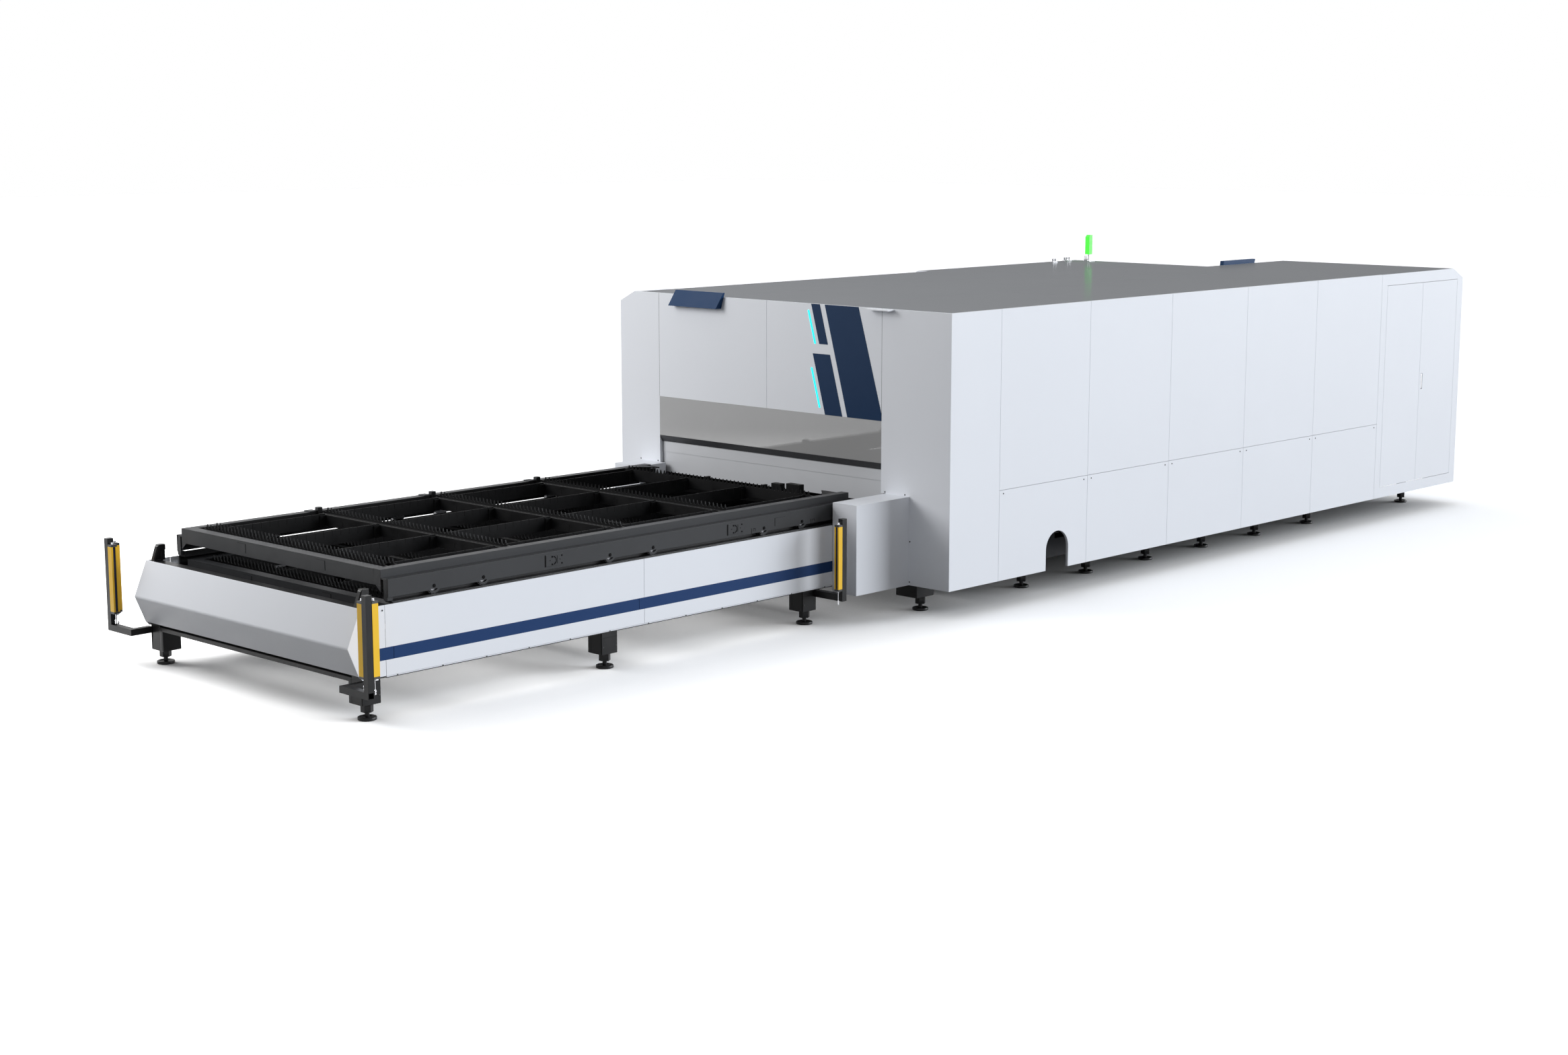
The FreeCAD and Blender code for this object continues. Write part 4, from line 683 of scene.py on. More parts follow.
@dataclass
class Dresser:
    """Keeps one material for each finish, and puts finishes on nodes and new pieces."""

    frame: dict
    made: dict[str, bpy.types.Material] = field(default_factory=dict)
    weld: float = 1e-5
    crease: float = math.radians(35)
    sharp: float = math.radians(38)

    def material(self, finish: Finish) -> bpy.types.Material:
        """The material of a finish, made once."""
        if finish.name not in self.made:
            self.made[finish.name] = finish.material()
        return self.made[finish.name]

    def solids(self, name: str) -> list[Box]:
        """Lowest and highest corner of each separate solid of a CAD node.

        Points that lie on one another count as one. Each then takes the lowest number that its
        edges bring to it, until nothing changes, so that the points of a solid share a number.

        Args:
            name: the node.

        Returns:
            The boxes, sorted by their lowest corners.
        """
        obj = self.frame["nodes"][name]
        points = placed(obj, obj.data.vertices, "co")
        ends = np.empty(len(obj.data.edges) * 2, np.int32)
        obj.data.edges.foreach_get("vertices", ends)
        same = np.unique(np.round(points, 5), axis=0, return_inverse=True)[1].ravel()
        ends = same[ends].reshape(-1, 2)
        group = np.arange(same.max() + 1)
        while True:
            least = group[ends].min(axis=1)
            after = group.copy()
            np.minimum.at(after, ends[:, 0], least)
            np.minimum.at(after, ends[:, 1], least)
            after = after[after]
            if np.array_equal(after, group):
                break
            group = after
        owner = group[same]
        boxes = [(points[owner == g].min(axis=0), points[owner == g].max(axis=0)) for g in np.unique(owner)]
        return sorted(boxes, key=lambda box: tuple(np.round(box[0], 3)))

    def node(self, name: str, finish: Finish, edge: float = SHARP) -> None:
        """Dress a CAD node.

        Args:
            name: the node.
            finish: what it is finished with.
            edge: radius of its broken edges, 0 for none.
        """
        obj = self.frame["nodes"][name]
        obj.data.materials.clear()
        obj.data.materials.append(self.material(finish))
        if edge > 0:
            obj.modifiers.new("weld", "WELD").merge_threshold = self.weld
            bevel = obj.modifiers.new("edges", "BEVEL")
            bevel.width = edge
            bevel.segments = 2
            bevel.limit_method = "ANGLE"
            bevel.angle_limit = self.crease
            bevel.harden_normals = False

    def darkened_inside(self, name: str, finish: Finish, front: float, half: float) -> None:
        """Painted shade: a darker finish on the faces inside a CAD frame.

        Args:
            name: the node.
            finish: the darker finish that paints the shade inside.
            front: how far behind the node's front end it begins.
            half: half width over which it is used.
        """
        obj = self.frame["nodes"][name]
        obj.data.materials.append(self.material(finish))
        middles = placed(obj, obj.data.polygons, "center")
        # The faces inside the frame take the darker finish: painted shade.
        inside = (np.abs(middles[:, 1]) < half) & (middles[:, 0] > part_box(name)[0].x + front)
        obj.data.polygons.foreach_set("material_index", inside.astype(np.int32))

    def piece(self, name: str, shell: Shell, finish: Finish, slot: Slot = Slot.CAP, body: str = "machine",
              replaces: tuple[str, ...] = (), smooth: bool = False) -> None:
        """Make a new piece that rides on a body.

        Args:
            name: the piece's name.
            shell: its mesh.
            finish: what it is finished with.
            slot: the record's slot named for the piece; not used.
            body: the CAD body that carries it.
            replaces: CAD nodes that it stands for.
            smooth: whether faces blend into each other below the sharp angle.
        """
        mesh = bpy.data.meshes.new(name)
        mesh.from_pydata(shell.points.tolist(), [], shell.faces)
        mesh.validate()
        mesh.materials.append(self.material(finish))
        if smooth:
            mesh.shade_smooth()
            mesh.set_sharp_from_angle(angle=self.sharp)
        obj = linked(name, mesh)
        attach(obj, body)
        if replaces:
            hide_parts(*replaces)
        log.info("piece %s: %d faces on %s", name, len(shell.faces), body)


# ------------------------------------------------------------------ sub-assemblies
@dataclass
class Feet:
    """Levelling feet: a dished pad, a round neck and a hexagonal nut under each leg."""

    dress: Dresser
    pad: Profile = ((0.054, 0.0), (0.058, 0.003), (0.058, 0.015), (0.0565, 0.0185), (0.053, 0.020),
                    (0.047, 0.020), (0.045, 0.018), (0.041, 0.014), (0.0205, 0.013), (0.0155, 0.016))
    neck: Profile = ((0.0145, 0.014), (0.0145, 0.047))
    nut: Profile = ((0.03696, 0.047), (0.0385, 0.049), (0.0385, 0.096), (0.03773, 0.097))
    nut_turn: float = 30.0
    nut_low: float = 0.047
    nut_top: float = 0.097
    block: float = 0.064

    def foot(self, top: float) -> Shell:
        """One foot on the floor at the origin.

        Args:
            top: top of the square block that the foot carries.

        Returns:
            Pad, neck, nut and, where it stands higher than the nut, block as one mesh.
        """
        parts = [turned(self.pad, sides=48), turned(self.neck, sides=24),
                 turned(self.nut, sides=6, first=self.nut_turn)]
        if top > self.nut_top + BROAD_EDGE:
            half = self.block / 2
            parts.append(bar((-half, -half, self.nut_top), (half, half, top), BROAD_EDGE))
        return total(parts)

    def under(self, node: str, name: str) -> None:
        """Feet at the square blocks of a node, and its other boxes with broken edges.

        Args:
            node: the CAD node.
            name: name of the piece.
        """
        parts = []
        for low, high in self.dress.solids(node):
            if low[2] < self.nut_low:
                continue
            if high[0] - low[0] < self.block + BROAD_EDGE:
                parts.append(self.foot(high[2]).repeated((low + high) / 2 * (1, 1, 0)))
            else:
                parts.append(bar(low, high, BROAD_EDGE))
        self.dress.piece(name, total(parts), BLACK_COAT, Slot.BLACK, replaces=(node,), smooth=True)

    def build(self) -> None:
        """The feet of the table and of the body."""
        self.under("table_feet", "table_levelling_feet")
        self.under("enclosure_feet", "enclosure_levelling_feet")


@dataclass
class Screws:
    """Small button-head screws on the panels and plates."""

    dress: Dresser
    corner_in: float = 0.045
    seam_in: float = 0.025
    row_top: float = 0.90
    widest_post: float = 0.30
    lip_in: float = 0.08
    lip_screws: int = 12
    lip_drop: float = 0.0065
    end_in: tuple[float, float] = (0.02, 0.03)
    leg_y: float = -1.137
    leg_in: float = 0.055
    leg_z: float = 0.147
    cover: Profile = ((-1.1426, 0.858), (-1.3323, 0.857), (-1.3832, 0.522), (-1.3832, 0.228),
                      (1.4318, 0.856), (1.2356, 0.856))

    def side_rows(self) -> list[Point]:
        """Screws below the seam between the two rows of side panels, at the corners of each panel."""
        return [(x, low[1], high[2] - self.seam_in) for low, high in self.dress.solids("side_panels")
                if high[2] < self.row_top and high[0] - low[0] > self.widest_post
                for x in (low[0] + self.corner_in, high[0] - self.corner_in)]

    def table_rows(self) -> list[Point]:
        """Screws along the lower lip and at the front end of the table's near side panels."""
        low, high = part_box("table_side_panels")
        lip = np.linspace(low.x + self.lip_in, high.x - self.lip_in, self.lip_screws)
        ends = [(low.x - self.end_in[0], low.y, high.z - self.end_in[1])]
        return [(x, low.y, low.z - self.lip_drop) for x in lip] + ends

    def leg_rows(self) -> list[Point]:
        """Two small screws near the foot of each leg on the table's near side."""
        return [((low[0] + high[0]) / 2 + side, self.leg_y, self.leg_z)
                for low, high in self.dress.solids("table_feet") if low[2] > Feet.nut_low and low[1] < 0
                for side in (-self.leg_in, self.leg_in)]

    def build(self) -> None:
        """All screws of the fixed panels, on the near side and, for the table, the far side too."""
        table = screw_head().repeated(self.table_rows() + self.leg_rows())
        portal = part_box("side_panels")[0].x
        front = screw_head(axis=Axis.X).repeated([(portal, y, z) for y, z in self.cover])
        shell = screw_head().repeated(self.side_rows()) + table.both_sides() + front
        self.dress.piece("panel_screws", shell, BLACK_PLASTIC, smooth=True)


@dataclass
class Curtains:
    """Light curtains: a lens strip in each bar's groove, and the fittings above and below it."""

    dress: Dresser
    facings: tuple[tuple[int, int], ...] = ((0, -1), (1, 0), (-1, 0))
    hangs: tuple[float, ...] = (0.068, 0.096, 0.096)
    cap: float = 0.014
    lens_w: float = 0.016
    lens_t: float = 0.003
    lens_short: float = 0.002
    groove: float = 0.005
    edge: float = 0.001
    socket: Profile = ((0.010, 0.0), (0.012, 0.002), (0.012, 0.005), (0.007, 0.0065), (0.007, 0.010),
                       (0.010, 0.011), (0.010, 0.014), (0.006, 0.015))
    bracket: Point = (0.013, 0.003, 0.004)
    ring: Profile = ((0.0045, -0.002), (0.0048, 0.0), (0.0045, 0.002))
    rings: tuple[float, ...] = (0.010, 0.0195)
    ring_drop: float = 0.009
    stem_r: float = 0.002
    plug: Profile = ((0.004, 0.0), (0.0065, 0.002), (0.0065, 0.012), (0.0045, 0.013), (0.0045, 0.017),
                     (0.0075, 0.018), (0.0075, 0.027), (0.0045, 0.029), (0.0045, 0.033), (0.002, 0.034))

    def places(self) -> list[tuple[np.ndarray, np.ndarray, tuple[int, int], float]]:
        """Box, facing and length of the hanging plug of each bar on the far side."""
        far = [box for box in self.dress.solids("curtain_bars") if box[0][1] > 0]
        return [(low, high, facing, hang) for (low, high), facing, hang in zip(far, self.facings, self.hangs)]

    def lenses(self) -> None:
        """Dark strips at the bottom of the grooves."""
        strips = []
        for low, high, facing, _ in self.places():
            out = np.array((*facing, 0.0))
            half = (high - low) / 2
            centre = (low + high) / 2 + out * (half - self.groove + self.lens_t / 2)
            reach = np.where(out != 0, self.lens_t / 2, self.lens_w / 2)
            reach[2] = half[2] - self.lens_short
            strips.append(bar(centre - reach, centre + reach, self.edge))
        self.dress.piece("curtain_lenses", total(strips).both_sides(), LENS_NAVY, smooth=True)

    def fittings(self) -> None:
        """A plated socket on each bar, and a bracket, two rings and a plug on a stiff stem below."""
        parts = []
        long, wide, tall = self.bracket
        for low, high, _, hang in self.places():
            x, y, _ = (low + high) / 2
            top, foot = high[2] + self.cap, low[2] - self.cap
            stem = ((self.stem_r, self.plug[-1][1] - hang), (self.stem_r, 0.0))
            parts += [turned(self.socket, (x, y, top), sides=16),
                      bar((x - long, y - wide, foot - tall), (x + long, y + wide, foot), self.edge)]
            hoop = foot - self.ring_drop
            parts += [turned(self.ring, (x + side, y, hoop), Axis.Y, 14) for side in self.rings]
            parts += [turned(stem, (x, y, foot), sides=10), turned(self.plug, (x, y, foot - hang), sides=14)]
        self.dress.piece("curtain_fittings", total(parts).both_sides(), PLATED, Slot.BRIGHT, smooth=True)


@dataclass
class Pallets:
    """The two pallets: finishes, toothed slats, slotted dividers and small marks.

    Heights are counted down from a pallet's top and lengths from its front end. A mark is
    (start, end, lower edge, upper edge) on its face, from the place that it belongs to.
    """

    dress: Dresser
    wheels: int = 6
    front_beam: float = 0.0795
    bar_half: float = 0.9955
    catch_rise: float = 0.026
    pitch: float = 0.039
    tooth_h: float = 0.030
    last_tooth: float = 0.962
    tooth: Profile = ((0.014, 0.0), (0.005, 0.45), (0.0008, 1.0))
    slit_pitch: float = 0.0675
    slit_w: float = 0.003
    slit_h: float = 0.040
    slant: float = 0.0003
    bar_span: float = 1.9
    bar_w: float = 0.06
    bracket: Point = (0.046, 0.024, 0.082)
    bracket_lift: float = 0.001
    bracket_edge: float = 0.002
    beam_slits: tuple[float, ...] = (0.3335, -0.511)
    beam_marks: tuple[Row, ...] = ((-0.003, 0.003, 0.076, 0.016), (0.0, 0.090, 0.0166, 0.0156))
    bar_slits: tuple[float, ...] = (0.700, 0.103, -0.494)
    bar_marks: tuple[Row, ...] = ((-0.002, 0.002, 0.070, 0.039),)
    skirt_slit: float = 3.304
    slit_marks: tuple[Row, ...] = ((-0.0025, 0.0025, 0.135, 0.079), (0.0, 0.100, 0.0796, 0.0786))
    hooks: Profile = ((3.072, 0.123), (3.665, 0.128))
    hook_marks: tuple[Row, ...] = ((0.0, 0.004, 0.036, 0.0), (0.018, 0.021, 0.022, 0.002),
                                   (0.036, 0.039, 0.022, 0.002), (0.018, 0.039, 0.005, 0.002))
    proud: float = 0.0006
    sheet: float = 0.002
    plates: tuple[float, ...] = (0.2957, 0.6869)
    plate_drop: float = 0.068
    plate_edge: tuple[float, float] = (0.008, 0.074)
    bolts: Profile = ((0.060, 0.014), (0.060, 0.063), (0.139, 0.014), (0.139, 0.063))
    dots: Profile = ((0.041, 0.037), (0.124, 0.037))
    dot_r: float = 0.0025
    bow: Profile = ((0.074, 0.064), (0.087, 0.056), (0.093, 0.039), (0.087, 0.022), (0.074, 0.014))
    bow_in: float = 0.0015
    bow_r: float = 0.0034
    boss: Profile = ((0.006, -0.004), (0.0095, -0.0035), (0.011, -0.002), (0.011, 0.0))

    def finishes(self, level: str) -> None:
        """Coat of the frame, with painted shade on the faces inside it, and of the wheels."""
        self.dress.node(level + "_frame", PALLET_COAT, BROAD_EDGE)
        self.dress.darkened_inside(level + "_frame", SLAT_STEEL_AND_SHADE, self.front_beam, self.bar_half)
        for number in range(1, self.wheels + 1):
            self.dress.node(f"{level}_wheels_{number}", WHEEL_STEEL)

    def top(self, level: str) -> float:
        """Height of the pallet's top."""
        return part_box(level + "_frame")[1].z - self.catch_rise

    def slat(self, low: np.ndarray, high: np.ndarray) -> Shell:
        """Slat with pointed teeth, whose sides curve up from a broad foot to the tip."""
        count = int(self.last_tooth / self.pitch)
        offset, rise = np.array(self.tooth).T
        offset, rise = np.concatenate([-offset, offset[::-1]]), np.concatenate([rise, rise[::-1]])
        teeth = np.arange(-count, count + 1) * self.pitch
        valley = high[2] - self.tooth_h
        along = np.concatenate([[low[1]], (teeth[:, None] + offset).ravel(), [high[1]]])
        top = np.concatenate([[valley], np.tile(valley + rise * self.tooth_h, len(teeth)), [valley]])
        return edged(along, top, low, high, Axis.Y)

    def divider(self, low: np.ndarray, high: np.ndarray) -> Shell:
        """Divider with narrow slits from its top edge."""
        count = max(1, int((high[0] - low[0]) / self.slit_pitch))
        middles = (low[0] + high[0]) / 2 + (np.arange(count) - (count - 1) / 2) * self.slit_pitch
        half = self.slit_w / 2
        offset = np.array([-half - self.slant, -half, half, half + self.slant])
        drop = np.array([0.0, self.slit_h, self.slit_h, 0.0])
        along = np.concatenate([[low[0]], (middles[:, None] + offset).ravel(), [high[0]]])
        top = high[2] - np.concatenate([[0.0], np.tile(drop, count), [0.0]])
        return edged(along, top, low, high)

    def bars(self, level: str) -> list[Box]:
        """Boxes of the pallet's narrow cross bars."""
        return [(low, high) for low, high in self.dress.solids(level + "_frame")
                if high[1] - low[1] > self.bar_span and high[0] - low[0] < self.bar_w]

    def brackets(self, level: str) -> Shell:
        """A bracket round each divider's end in front of each bar."""
        dividers = self.dress.solids(level + "_dividers")
        rows = sorted({round(float(low[1] + high[1]) / 2, 4) for low, high in dividers})
        long, wide, tall = self.bracket
        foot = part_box(level + "_dividers")[0].z + self.bracket_lift
        return total([bar((low[0] - long, y - wide / 2, foot), (low[0], y + wide / 2, foot + tall),
                          self.bracket_edge) for low, _ in self.bars(level) for y in rows])

    def slots(self, level: str) -> Shell:
        """Black slots and dark seams on the front beam, the bars and the skirts; the slots are strips of
        painted shade.
        """
        top, low, out = self.top(level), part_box(level + "_frame")[0], self.proud
        near = low.y + self.sheet
        faces = [(low.x, y, self.beam_marks) for y in self.beam_slits]
        faces += [(first[0], y, self.bar_marks) for first, _ in self.bars(level) for y in self.bar_slits]
        # Black slab in each slot: painted shade.
        cross = [slab((x - out, y + start, top - foot), (x + out, y + end, top - head))
                 for x, y, marks in faces for start, end, foot, head in marks]
        skirts = [(low.x + self.skirt_slit, top, self.slit_marks)]
        skirts += [(low.x + along, top - drop, self.hook_marks) for along, drop in self.hooks]
        long = [slab((x + start, near - out, z - foot), (x + end, near + out, z - head))
                for x, z, marks in skirts for start, end, foot, head in marks]
        return total(cross) + total(long).both_sides()

    def plate_marks(self, level: str) -> Shell:
        """Edge, slot and bolts of the plates on the skirts, and the bosses over the wheels; the edge and the
        slot are black strips of painted shade.
        """
        low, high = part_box(level + "_frame")
        near, z = low.y, self.top(level) - self.plate_drop
        width, height = self.plate_edge
        parts = []
        for share in self.plates:
            x = low.x + share * (high.x - low.x)
            # Black plate edge and D-shaped slot: painted shade.
            parts += [slab((x, near - self.proud, z - height), (x + width, near + self.proud, z)),
                      screw_head().repeated([(x + dx, near, z - dz) for dx, dz in self.bolts]),
                      screw_head(self.dot_r).repeated([(x + dx, near, z - dz) for dx, dz in self.dots]),
                      tube([(x + dx, near + self.bow_in, z - dz) for dx, dz in self.bow], self.bow_r)]
        boss = turned(self.boss, axis=Axis.Y, sides=20)
        for number in range(1, self.wheels + 1):
            first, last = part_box(f"{level}_wheels_{number}")
            middle = (first + last) / 2
            parts.append(boss.repeated([(middle.x, near + self.sheet, middle.z)]))
        return total(parts).both_sides()

    def build(self, level: str) -> None:
        """Make the pieces of one pallet.

        Args:
            level: upper or lower.
        """
        body, piece = level + "_pallet", self.dress.piece
        for part, shape in (("slats", self.slat), ("dividers", self.divider)):
            node = f"{level}_{part}"
            shell = total([shape(low, high) for low, high in self.dress.solids(node)])
            piece(f"{level}_cut_{part}", shell, SLAT_STEEL_AND_SHADE, Slot.PALLET, body, (node,))
        piece(level + "_brackets", self.brackets(level), SLAT_STEEL_AND_SHADE, Slot.PALLET, body, smooth=True)
        piece(level + "_slots", self.slots(level), SLOT_SHADE_AND_BOLT_BLACK, body=body)
        piece(level + "_plate_marks", self.plate_marks(level), SLOT_SHADE_AND_BOLT_BLACK, body=body, smooth=True)


@dataclass
class Enclosure:
    """Seams, strips and controls of the fixed body."""

    dress: Dresser
    seam: float = 0.003
    line: float = 0.001
    seams_y: tuple[float, float] = (-1.104, 1.211)
    highlight_in: float = 0.010
    highlight_h: float = 0.020
    highlight_drop: float = 0.0005
    strip_laps: tuple[float, float] = (0.0035, 0.0030)
    strip_foot: float = 0.0015
    strip_head: float = 0.0008
    lean: float = 0.1273
    sunk: float = 0.002
    bezel: tuple[Row, Row, float] = ((0.070, 0.580), (0.200, 0.510), 0.004)
    screen: tuple[Row, Row, float] = ((0.090, 0.560), (0.220, 0.490), 0.0052)
    key: Profile = ((0.012, -0.004), (0.012, 0.003), (0.010, 0.006), (0.004, 0.0065))
    key_row: tuple[float, float, int] = (0.10, 0.55, 9)
    key_z: float = 0.110
    pull_reach: float = 0.013
    window_lap: float = 0.020
    seal_w: float = 0.012
    seal_t: float = 0.001

    def roof_seam_highlights(self) -> None:
        """Pale strips in the roof's seams: painted highlights on the panels' edges."""
        panels = [box for box in self.dress.solids("roof_panels") if box[1][2] - box[0][2] > self.highlight_h]
        low = np.min([box[0] for box in panels], axis=0)
        high = np.max([box[1] for box in panels], axis=0)
        top = high[2] - self.highlight_drop
        foot = top - self.highlight_h
        xs, ys = (sorted({round(float(box[1][k]), 4) for box in panels} - {round(float(high[k]), 4)})
                  for k in (0, 1))
        # Pale strips in the seams: painted edge highlights.
        parts = [slab((x, low[1] + self.highlight_in, foot), (x + self.seam, ys[-1], top)) for x in xs]
        parts += [slab((low[0] + self.highlight_in, y, foot), (high[0] - self.highlight_in, y + self.seam, top))
                  for y in ys[:-1]]
        self.dress.piece("roof_seam_highlights", total(parts), SEAM_HIGHLIGHT_GREY, Slot.WHITE)

    def portal_seams(self) -> None:
        """Dark seams between the portal's pillars and the panels over the entrance."""
        low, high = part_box("fascia_panels")
        x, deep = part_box("side_panels")[0].x, self.line / 2
        seams = [slab((x - deep, y - self.line, low.z), (x + deep, y + self.line, high.z))
                 for y in self.seams_y]
        self.dress.piece("portal_seams", total(seams), GREY_DARK)

    def glass_strip(self) -> None:
        """Dark face on the slanted strip between the glass and the lift door."""
        under, over = sorted(self.dress.solids("glass_band"), key=lambda box: box[1][2])[0]
        outline = np.array([(under[2] - self.strip_foot, over[0] - self.strip_laps[0]),
                            (over[2], under[0] - self.strip_laps[1]),
                            (over[2] + self.strip_head, under[0]), (under[2], over[0])])
        shell = stacked(np.stack([outline] * 2), (under[1], over[1]), ORIGIN, Axis.Y)
        self.dress.piece("glass_strip", shell, GREY_DARK)

    def on_console(self, span: Row, heights: Row, proud: float) -> Shell:
        """Flat piece on the console's leaning face.

        The face's place at a height z is its foot less lean * (z - the console's foot).

        Args:
            span: ends along X, from the console's left end.
            heights: lower and upper edge, from the console's foot.
            proud: how far it stands off the face.

        Returns:
            The closed mesh.
        """
        low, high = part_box("console")
        foot, head = heights
        corners = ((foot, -self.sunk), (foot, proud), (head, proud), (head, -self.sunk))
        outline = np.array([(high.y - self.lean * h + out, low.z + h) for h, out in corners])
        return stacked(np.stack([outline] * 2), np.array(span) + low.x, ORIGIN, Axis.X)

    def console(self) -> None:
        """Screen and plain keys of the console."""
        self.dress.piece("console_bezel", self.on_console(*self.bezel), BLACK_PLASTIC)
        self.dress.piece("console_screen", self.on_console(*self.screen), SCREEN)
        low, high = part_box("console")
        y, z = high.y - self.lean * self.key_z, low.z + self.key_z
        key = turned(self.key, axis=Axis.Y, sides=20)
        keys = key.repeated([(low.x + x, y, z) for x in np.linspace(*self.key_row)])
        self.dress.piece("console_keys", keys, GREY_DARK, smooth=True)

    def window_seal(self) -> None:
        """Seal round the window of the access door."""
        first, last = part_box("access_window")
        near, out = last.y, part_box("access_door")[1].y - self.pull_reach + self.seal_t
        lap, wide = self.window_lap, self.seal_w
        x0, x1, z0, z1 = first.x + lap, last.x - lap, first.z + lap, last.z - lap
        strips = [slab((x0, near, z), (x1, out, z + wide)) for z in (z0, z1 - wide)]
        strips += [slab((x, near, z0), (x + wide, out, z1)) for x in (x0, x1 - wide)]
        self.dress.piece("window_seal", total(strips), BLACK_PLASTIC, body="access_door")

    def build(self) -> None:
        """All the pieces."""
        self.roof_seam_highlights()
        self.portal_seams()
        self.glass_strip()
        self.console()
        self.window_seal()


@dataclass
class Table:
    """Webs in the hook brackets, lips of the side panels and inner half of the legs."""

    dress: Dresser
    web_x: tuple[float, ...] = (-5.890, -5.862, -5.856, -5.806)
    web_top: tuple[float, ...] = (0.700, 0.778, 0.784, 0.784)
    web_low: Point = (-5.890, 1.076, 0.688)
    web_high: Point = (-5.806, 1.104, 0.784)
    lip_h: float = 0.007
    lip_edge: float = 0.005
    lip_d: float = 0.013
    lip_gap: float = 0.0015
    leg: Point = (0.135, 0.100, 0.135)
    groove_w: float = 0.008
    leg_seam_z: float = 0.208
    leg_seam: float = 0.001
    proud: float = 0.0006

    def webs(self) -> None:
        """Web plate in each hook bracket."""
        web = edged(self.web_x, self.web_top, self.web_low, self.web_high)
        self.dress.piece("hook_webs", web.both_sides(), BLACK_COAT)

    def lips(self) -> None:
        """Folded lip with a dark edge below each side panel."""
        low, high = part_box("table_side_panels")
        fold, back = low.z - self.lip_h, low.y + self.lip_d
        lip = slab((low.x, low.y, fold), (high.x, back, low.z - self.lip_gap))
        edge = slab((low.x, low.y, fold - self.lip_edge), (high.x, back, fold))
        self.dress.piece("table_lips", lip.both_sides(), WHITE_COAT, Slot.WHITE)
        self.dress.piece("lip_edges", edge.both_sides(), BLACK_COAT, Slot.BLACK)

    def legs(self) -> None:
        """Inner half of each leg, and on its outside a black strip of painted shade in the groove and a dark
        seam.
        """
        long, wide, deep = self.leg
        out, edge, seam = self.proud, BROAD_EDGE, self.leg_seam_z
        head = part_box("table_side_panels")[0].z - self.lip_h
        boxes, marks = [], []
        for first, last in self.dress.solids("table_feet"):
            if first[2] > Feet.nut_low and first[1] < 0:
                x, y = (first[0] + last[0] - long) / 2, (first[1] + last[1] - wide) / 2
                foot = last[2]
                boxes.append(bar((x, y + wide - edge, foot), (x + long, y + deep, head), edge))
                # Black strip in the leg's groove: painted shade; the thin slab below it is a dark seam.
                marks += [slab((x - out, y + out, foot + edge), (x + out, y + self.groove_w, head)),
                          slab((x + edge, y - out, seam), (x + long - edge, y + out, seam + self.leg_seam))]
        self.dress.piece("leg_boxes", total(boxes).both_sides(), BLACK_COAT, Slot.BLACK, smooth=True)
        self.dress.piece("leg_marks", total(marks).both_sides(), SLOT_SHADE_AND_BOLT_BLACK)

    def build(self) -> None:
        """All the pieces."""
        self.webs()
        self.lips()
        self.legs()


# ------------------------------------------------------------------ studio
@dataclass(frozen=True)
class Lamp:
    """A wide, even lamp far away.

    Attributes:
        name: the lamp's name.
        toward: direction from the machine to the lamp.
        strength: light on a surface square to it, 1 for a white that renders white.
        colour: tint of the light.
        softness: angle that the lamp fills, in degrees.
    """

    name: str
    toward: Point
    strength: float
    colour: Colour
    softness: float

    def build(self) -> None:
        """Hang the lamp."""
        data = bpy.data.lights.new(self.name, "SUN")
        data.energy = self.strength * math.pi
        data.color = self.colour
        data.angle = math.radians(self.softness)
        linked(self.name, data).rotation_euler = Vector(self.toward).to_track_quat("Z", "Y").to_euler()


@dataclass(frozen=True)
class Softbox:
    """A square lamp near the machine.

    Attributes:
        name: the lamp's name.
        place: its middle.
        aim: point that it faces.
        size: length of its sides.
        power: watts.
    """

    name: str
    place: Point
    aim: Point
    size: float
    power: float

    def build(self) -> None:
        """Hang the lamp."""
        data = bpy.data.lights.new(self.name, "AREA")
        data.energy = self.power
        data.size = self.size
        obj = linked(self.name, data)
        obj.location = self.place
        obj.rotation_euler = (Vector(self.place) - Vector(self.aim)).to_track_quat("Z", "Y").to_euler()


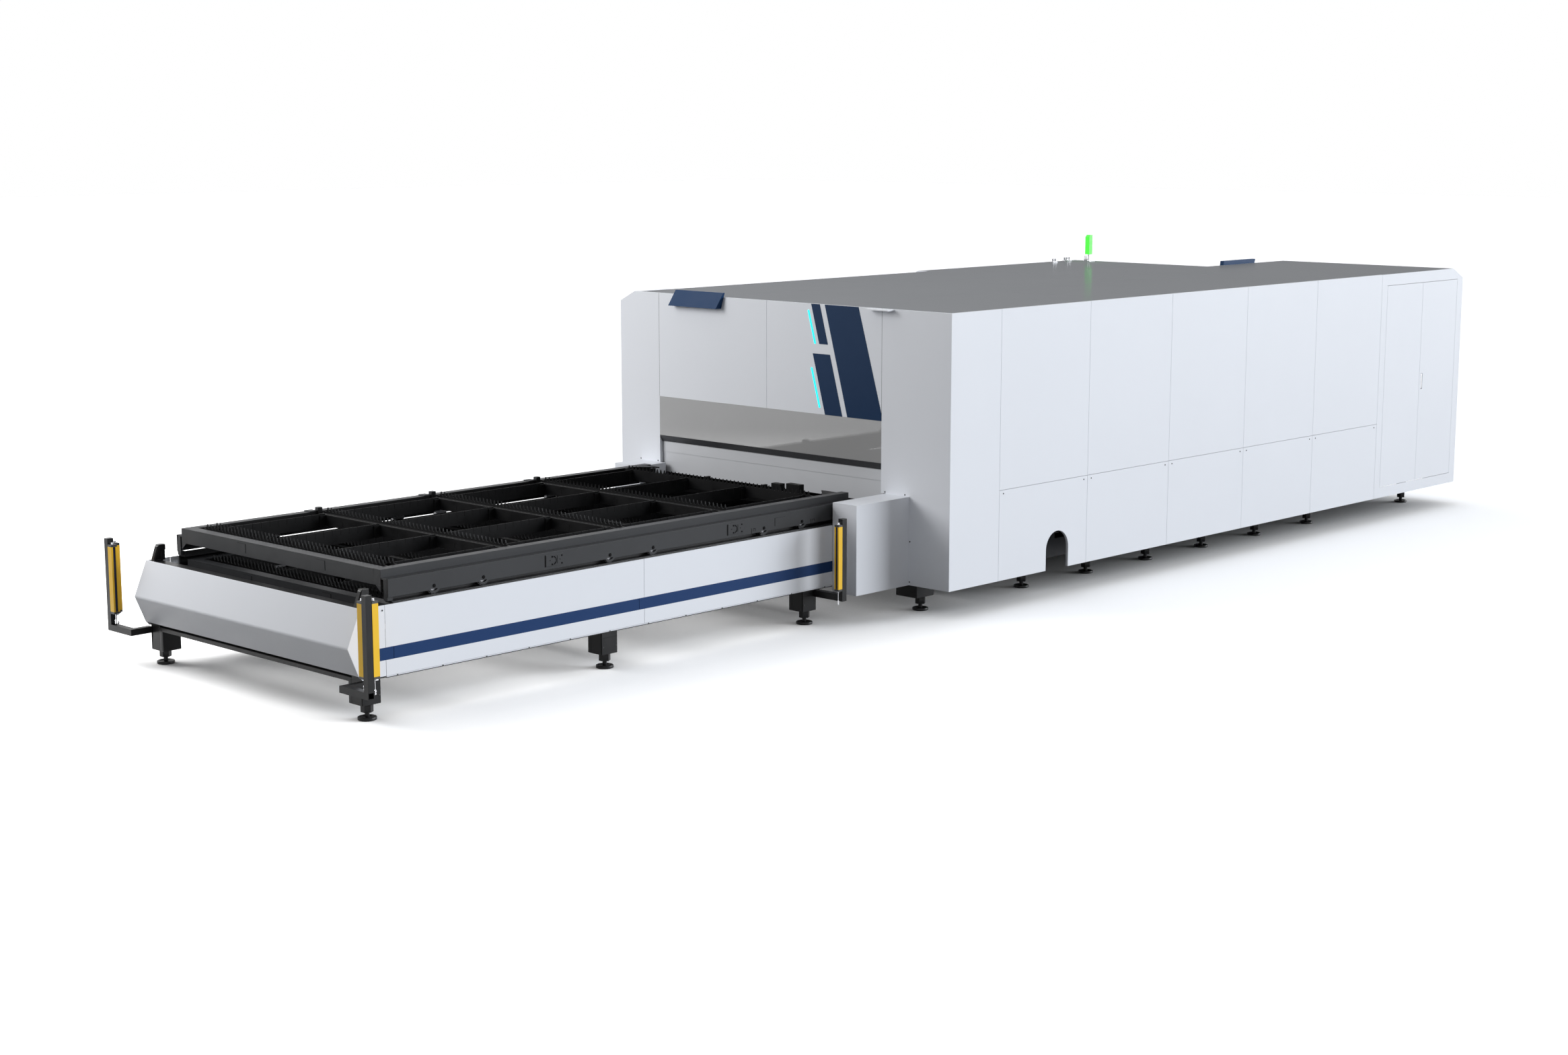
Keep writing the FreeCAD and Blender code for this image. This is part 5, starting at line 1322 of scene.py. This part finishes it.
@dataclass
class Studio:
    """Camera, floor and light.

    The camera stands where the photograph's straight edges put it, and the floor and world
    are white to the eye, to mirrors and through glass, but light the machine less.
    """

    eye: Point = (-14.130, -12.40855, 3.500)
    yaw: float = 43.609
    pitch: float = 9.634
    lens: float = 55.03
    sensor: float = 36.0
    view_end: float = 200.0
    ambient: float = 0.34
    floor_half: float = 90.0
    floor_seen: float = 1.70
    floor_bounce: float = 0.15
    shade_reach: float = 5.0
    shade_share: float = 0.55
    shade_samples: int = 8
    lamps: tuple[Lamp | Softbox, ...] = (
        Lamp("side_lamp", (0.74, -0.62, 0.16), 1.35, (0.965, 1.0, 1.045), 46.0),
        Lamp("back_lamp", (-0.25, 0.70, 0.65), 0.12, EVEN, 60.0),
        Softbox("front_panel", (-6.9, 4.5, 4.6), (-1.2, 0.2, 1.2), 4.0, 365.0))

    def camera(self) -> None:
        """Place the camera."""
        data = bpy.data.cameras.new("camera")
        data.lens = self.lens
        data.sensor_width = self.sensor
        data.clip_end = self.view_end
        obj = linked("camera", data)
        yaw, pitch = math.radians(self.yaw), math.radians(self.pitch)
        aim = Vector((math.cos(yaw) * math.cos(pitch), math.sin(yaw) * math.cos(pitch), -math.sin(pitch)))
        obj.location = self.eye
        obj.rotation_euler = aim.to_track_quat("-Z", "Y").to_euler()
        bpy.context.scene.camera = obj

    @staticmethod
    def seen_ray(graph: Graph) -> Socket:
        """1 for rays of the camera, mirrors and glass, 0 for light that bounces off plain surfaces."""
        ray = graph.add("LightPath").outputs
        first = graph.add("Math", {0: ray["Is Camera Ray"], 1: ray["Is Glossy Ray"]}, operation="MAXIMUM")
        either = {0: first.outputs[0], 1: ray["Is Transmission Ray"]}
        return graph.add("Math", either, operation="MAXIMUM").outputs[0]

    def world(self) -> None:
        """White to look at, softer as light."""
        world = bpy.data.worlds.new("studio")
        graph = Graph(world)
        bpy.context.scene.world = world
        spread = graph.add("MapRange", {"Value": self.seen_ray(graph), "To Min": self.ambient, "To Max": 1.0})
        graph.feed(graph.nodes["Background"], {"Color": (*EVEN, 1), "Strength": spread.outputs["Result"]})

    def soft_shade(self, graph: Graph) -> Socket:
        """Floor colour that falls off softly towards what stands on it.

        The colour is floor_seen * (1 - shade_share * (1 - openness)), where openness is the share
        of the sky that nothing within shade_reach hides.

        Args:
            graph: the floor's nodes.

        Returns:
            The colour.
        """
        openness = graph.add("AmbientOcclusion", {"Distance": self.shade_reach}, samples=self.shade_samples)
        limits = {"To Min": self.floor_seen * (1 - self.shade_share), "To Max": self.floor_seen}
        return graph.add("MapRange", {"Value": openness.outputs["AO"], **limits}).outputs["Result"]

    def floor(self) -> None:
        """Wide pale floor that keeps the machine's shadow."""
        half = self.floor_half
        mesh = bpy.data.meshes.new("floor")
        corners = [(-half, -half, 0), (half, -half, 0), (half, half, 0), (-half, half, 0)]
        mesh.from_pydata(corners, [], [(0, 1, 2, 3)])
        material = bpy.data.materials.new("floor_white")
        graph = Graph(material)
        graph.nodes.remove(graph.nodes["Principled BSDF"])
        shade = graph.add("Mix", {"A": (*[self.floor_bounce] * 3, 1), "B": self.soft_shade(graph),
                                  "Factor": self.seen_ray(graph)}, data_type="RGBA")
        plain = graph.add("BsdfDiffuse", {"Color": shade.outputs["Result"]})
        graph.feed(graph.nodes["Material Output"], {"Surface": plain.outputs[0]})
        mesh.materials.append(material)
        linked("floor", mesh)

    def build(self) -> None:
        """Camera, floor, world and lamps."""
        bpy.context.scene.view_settings.view_transform = "Standard"
        self.camera()
        self.world()
        self.floor()
        for lamp in self.lamps:
            lamp.build()


def main() -> None:
    """Load the frame, dress it and set the studio."""
    logging.basicConfig(level=logging.INFO, format="%(name)s: %(message)s")
    for old in list(bpy.data.objects):
        bpy.data.objects.remove(old)
    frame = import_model()
    dress = Dresser(frame)
    for finish, edge, names in FINISHES:
        for name in names.split():
            dress.node(name, finish, edge)
    Enclosure(dress).build()
    Table(dress).build()
    pallets = Pallets(dress)
    for level in ("upper", "lower"):
        pallets.finishes(level)
        pallets.build(level)
    Feet(dress).build()
    Screws(dress).build()
    curtains = Curtains(dress)
    curtains.lenses()
    curtains.fittings()
    Studio().build()


if __name__ == "__main__":
    main()
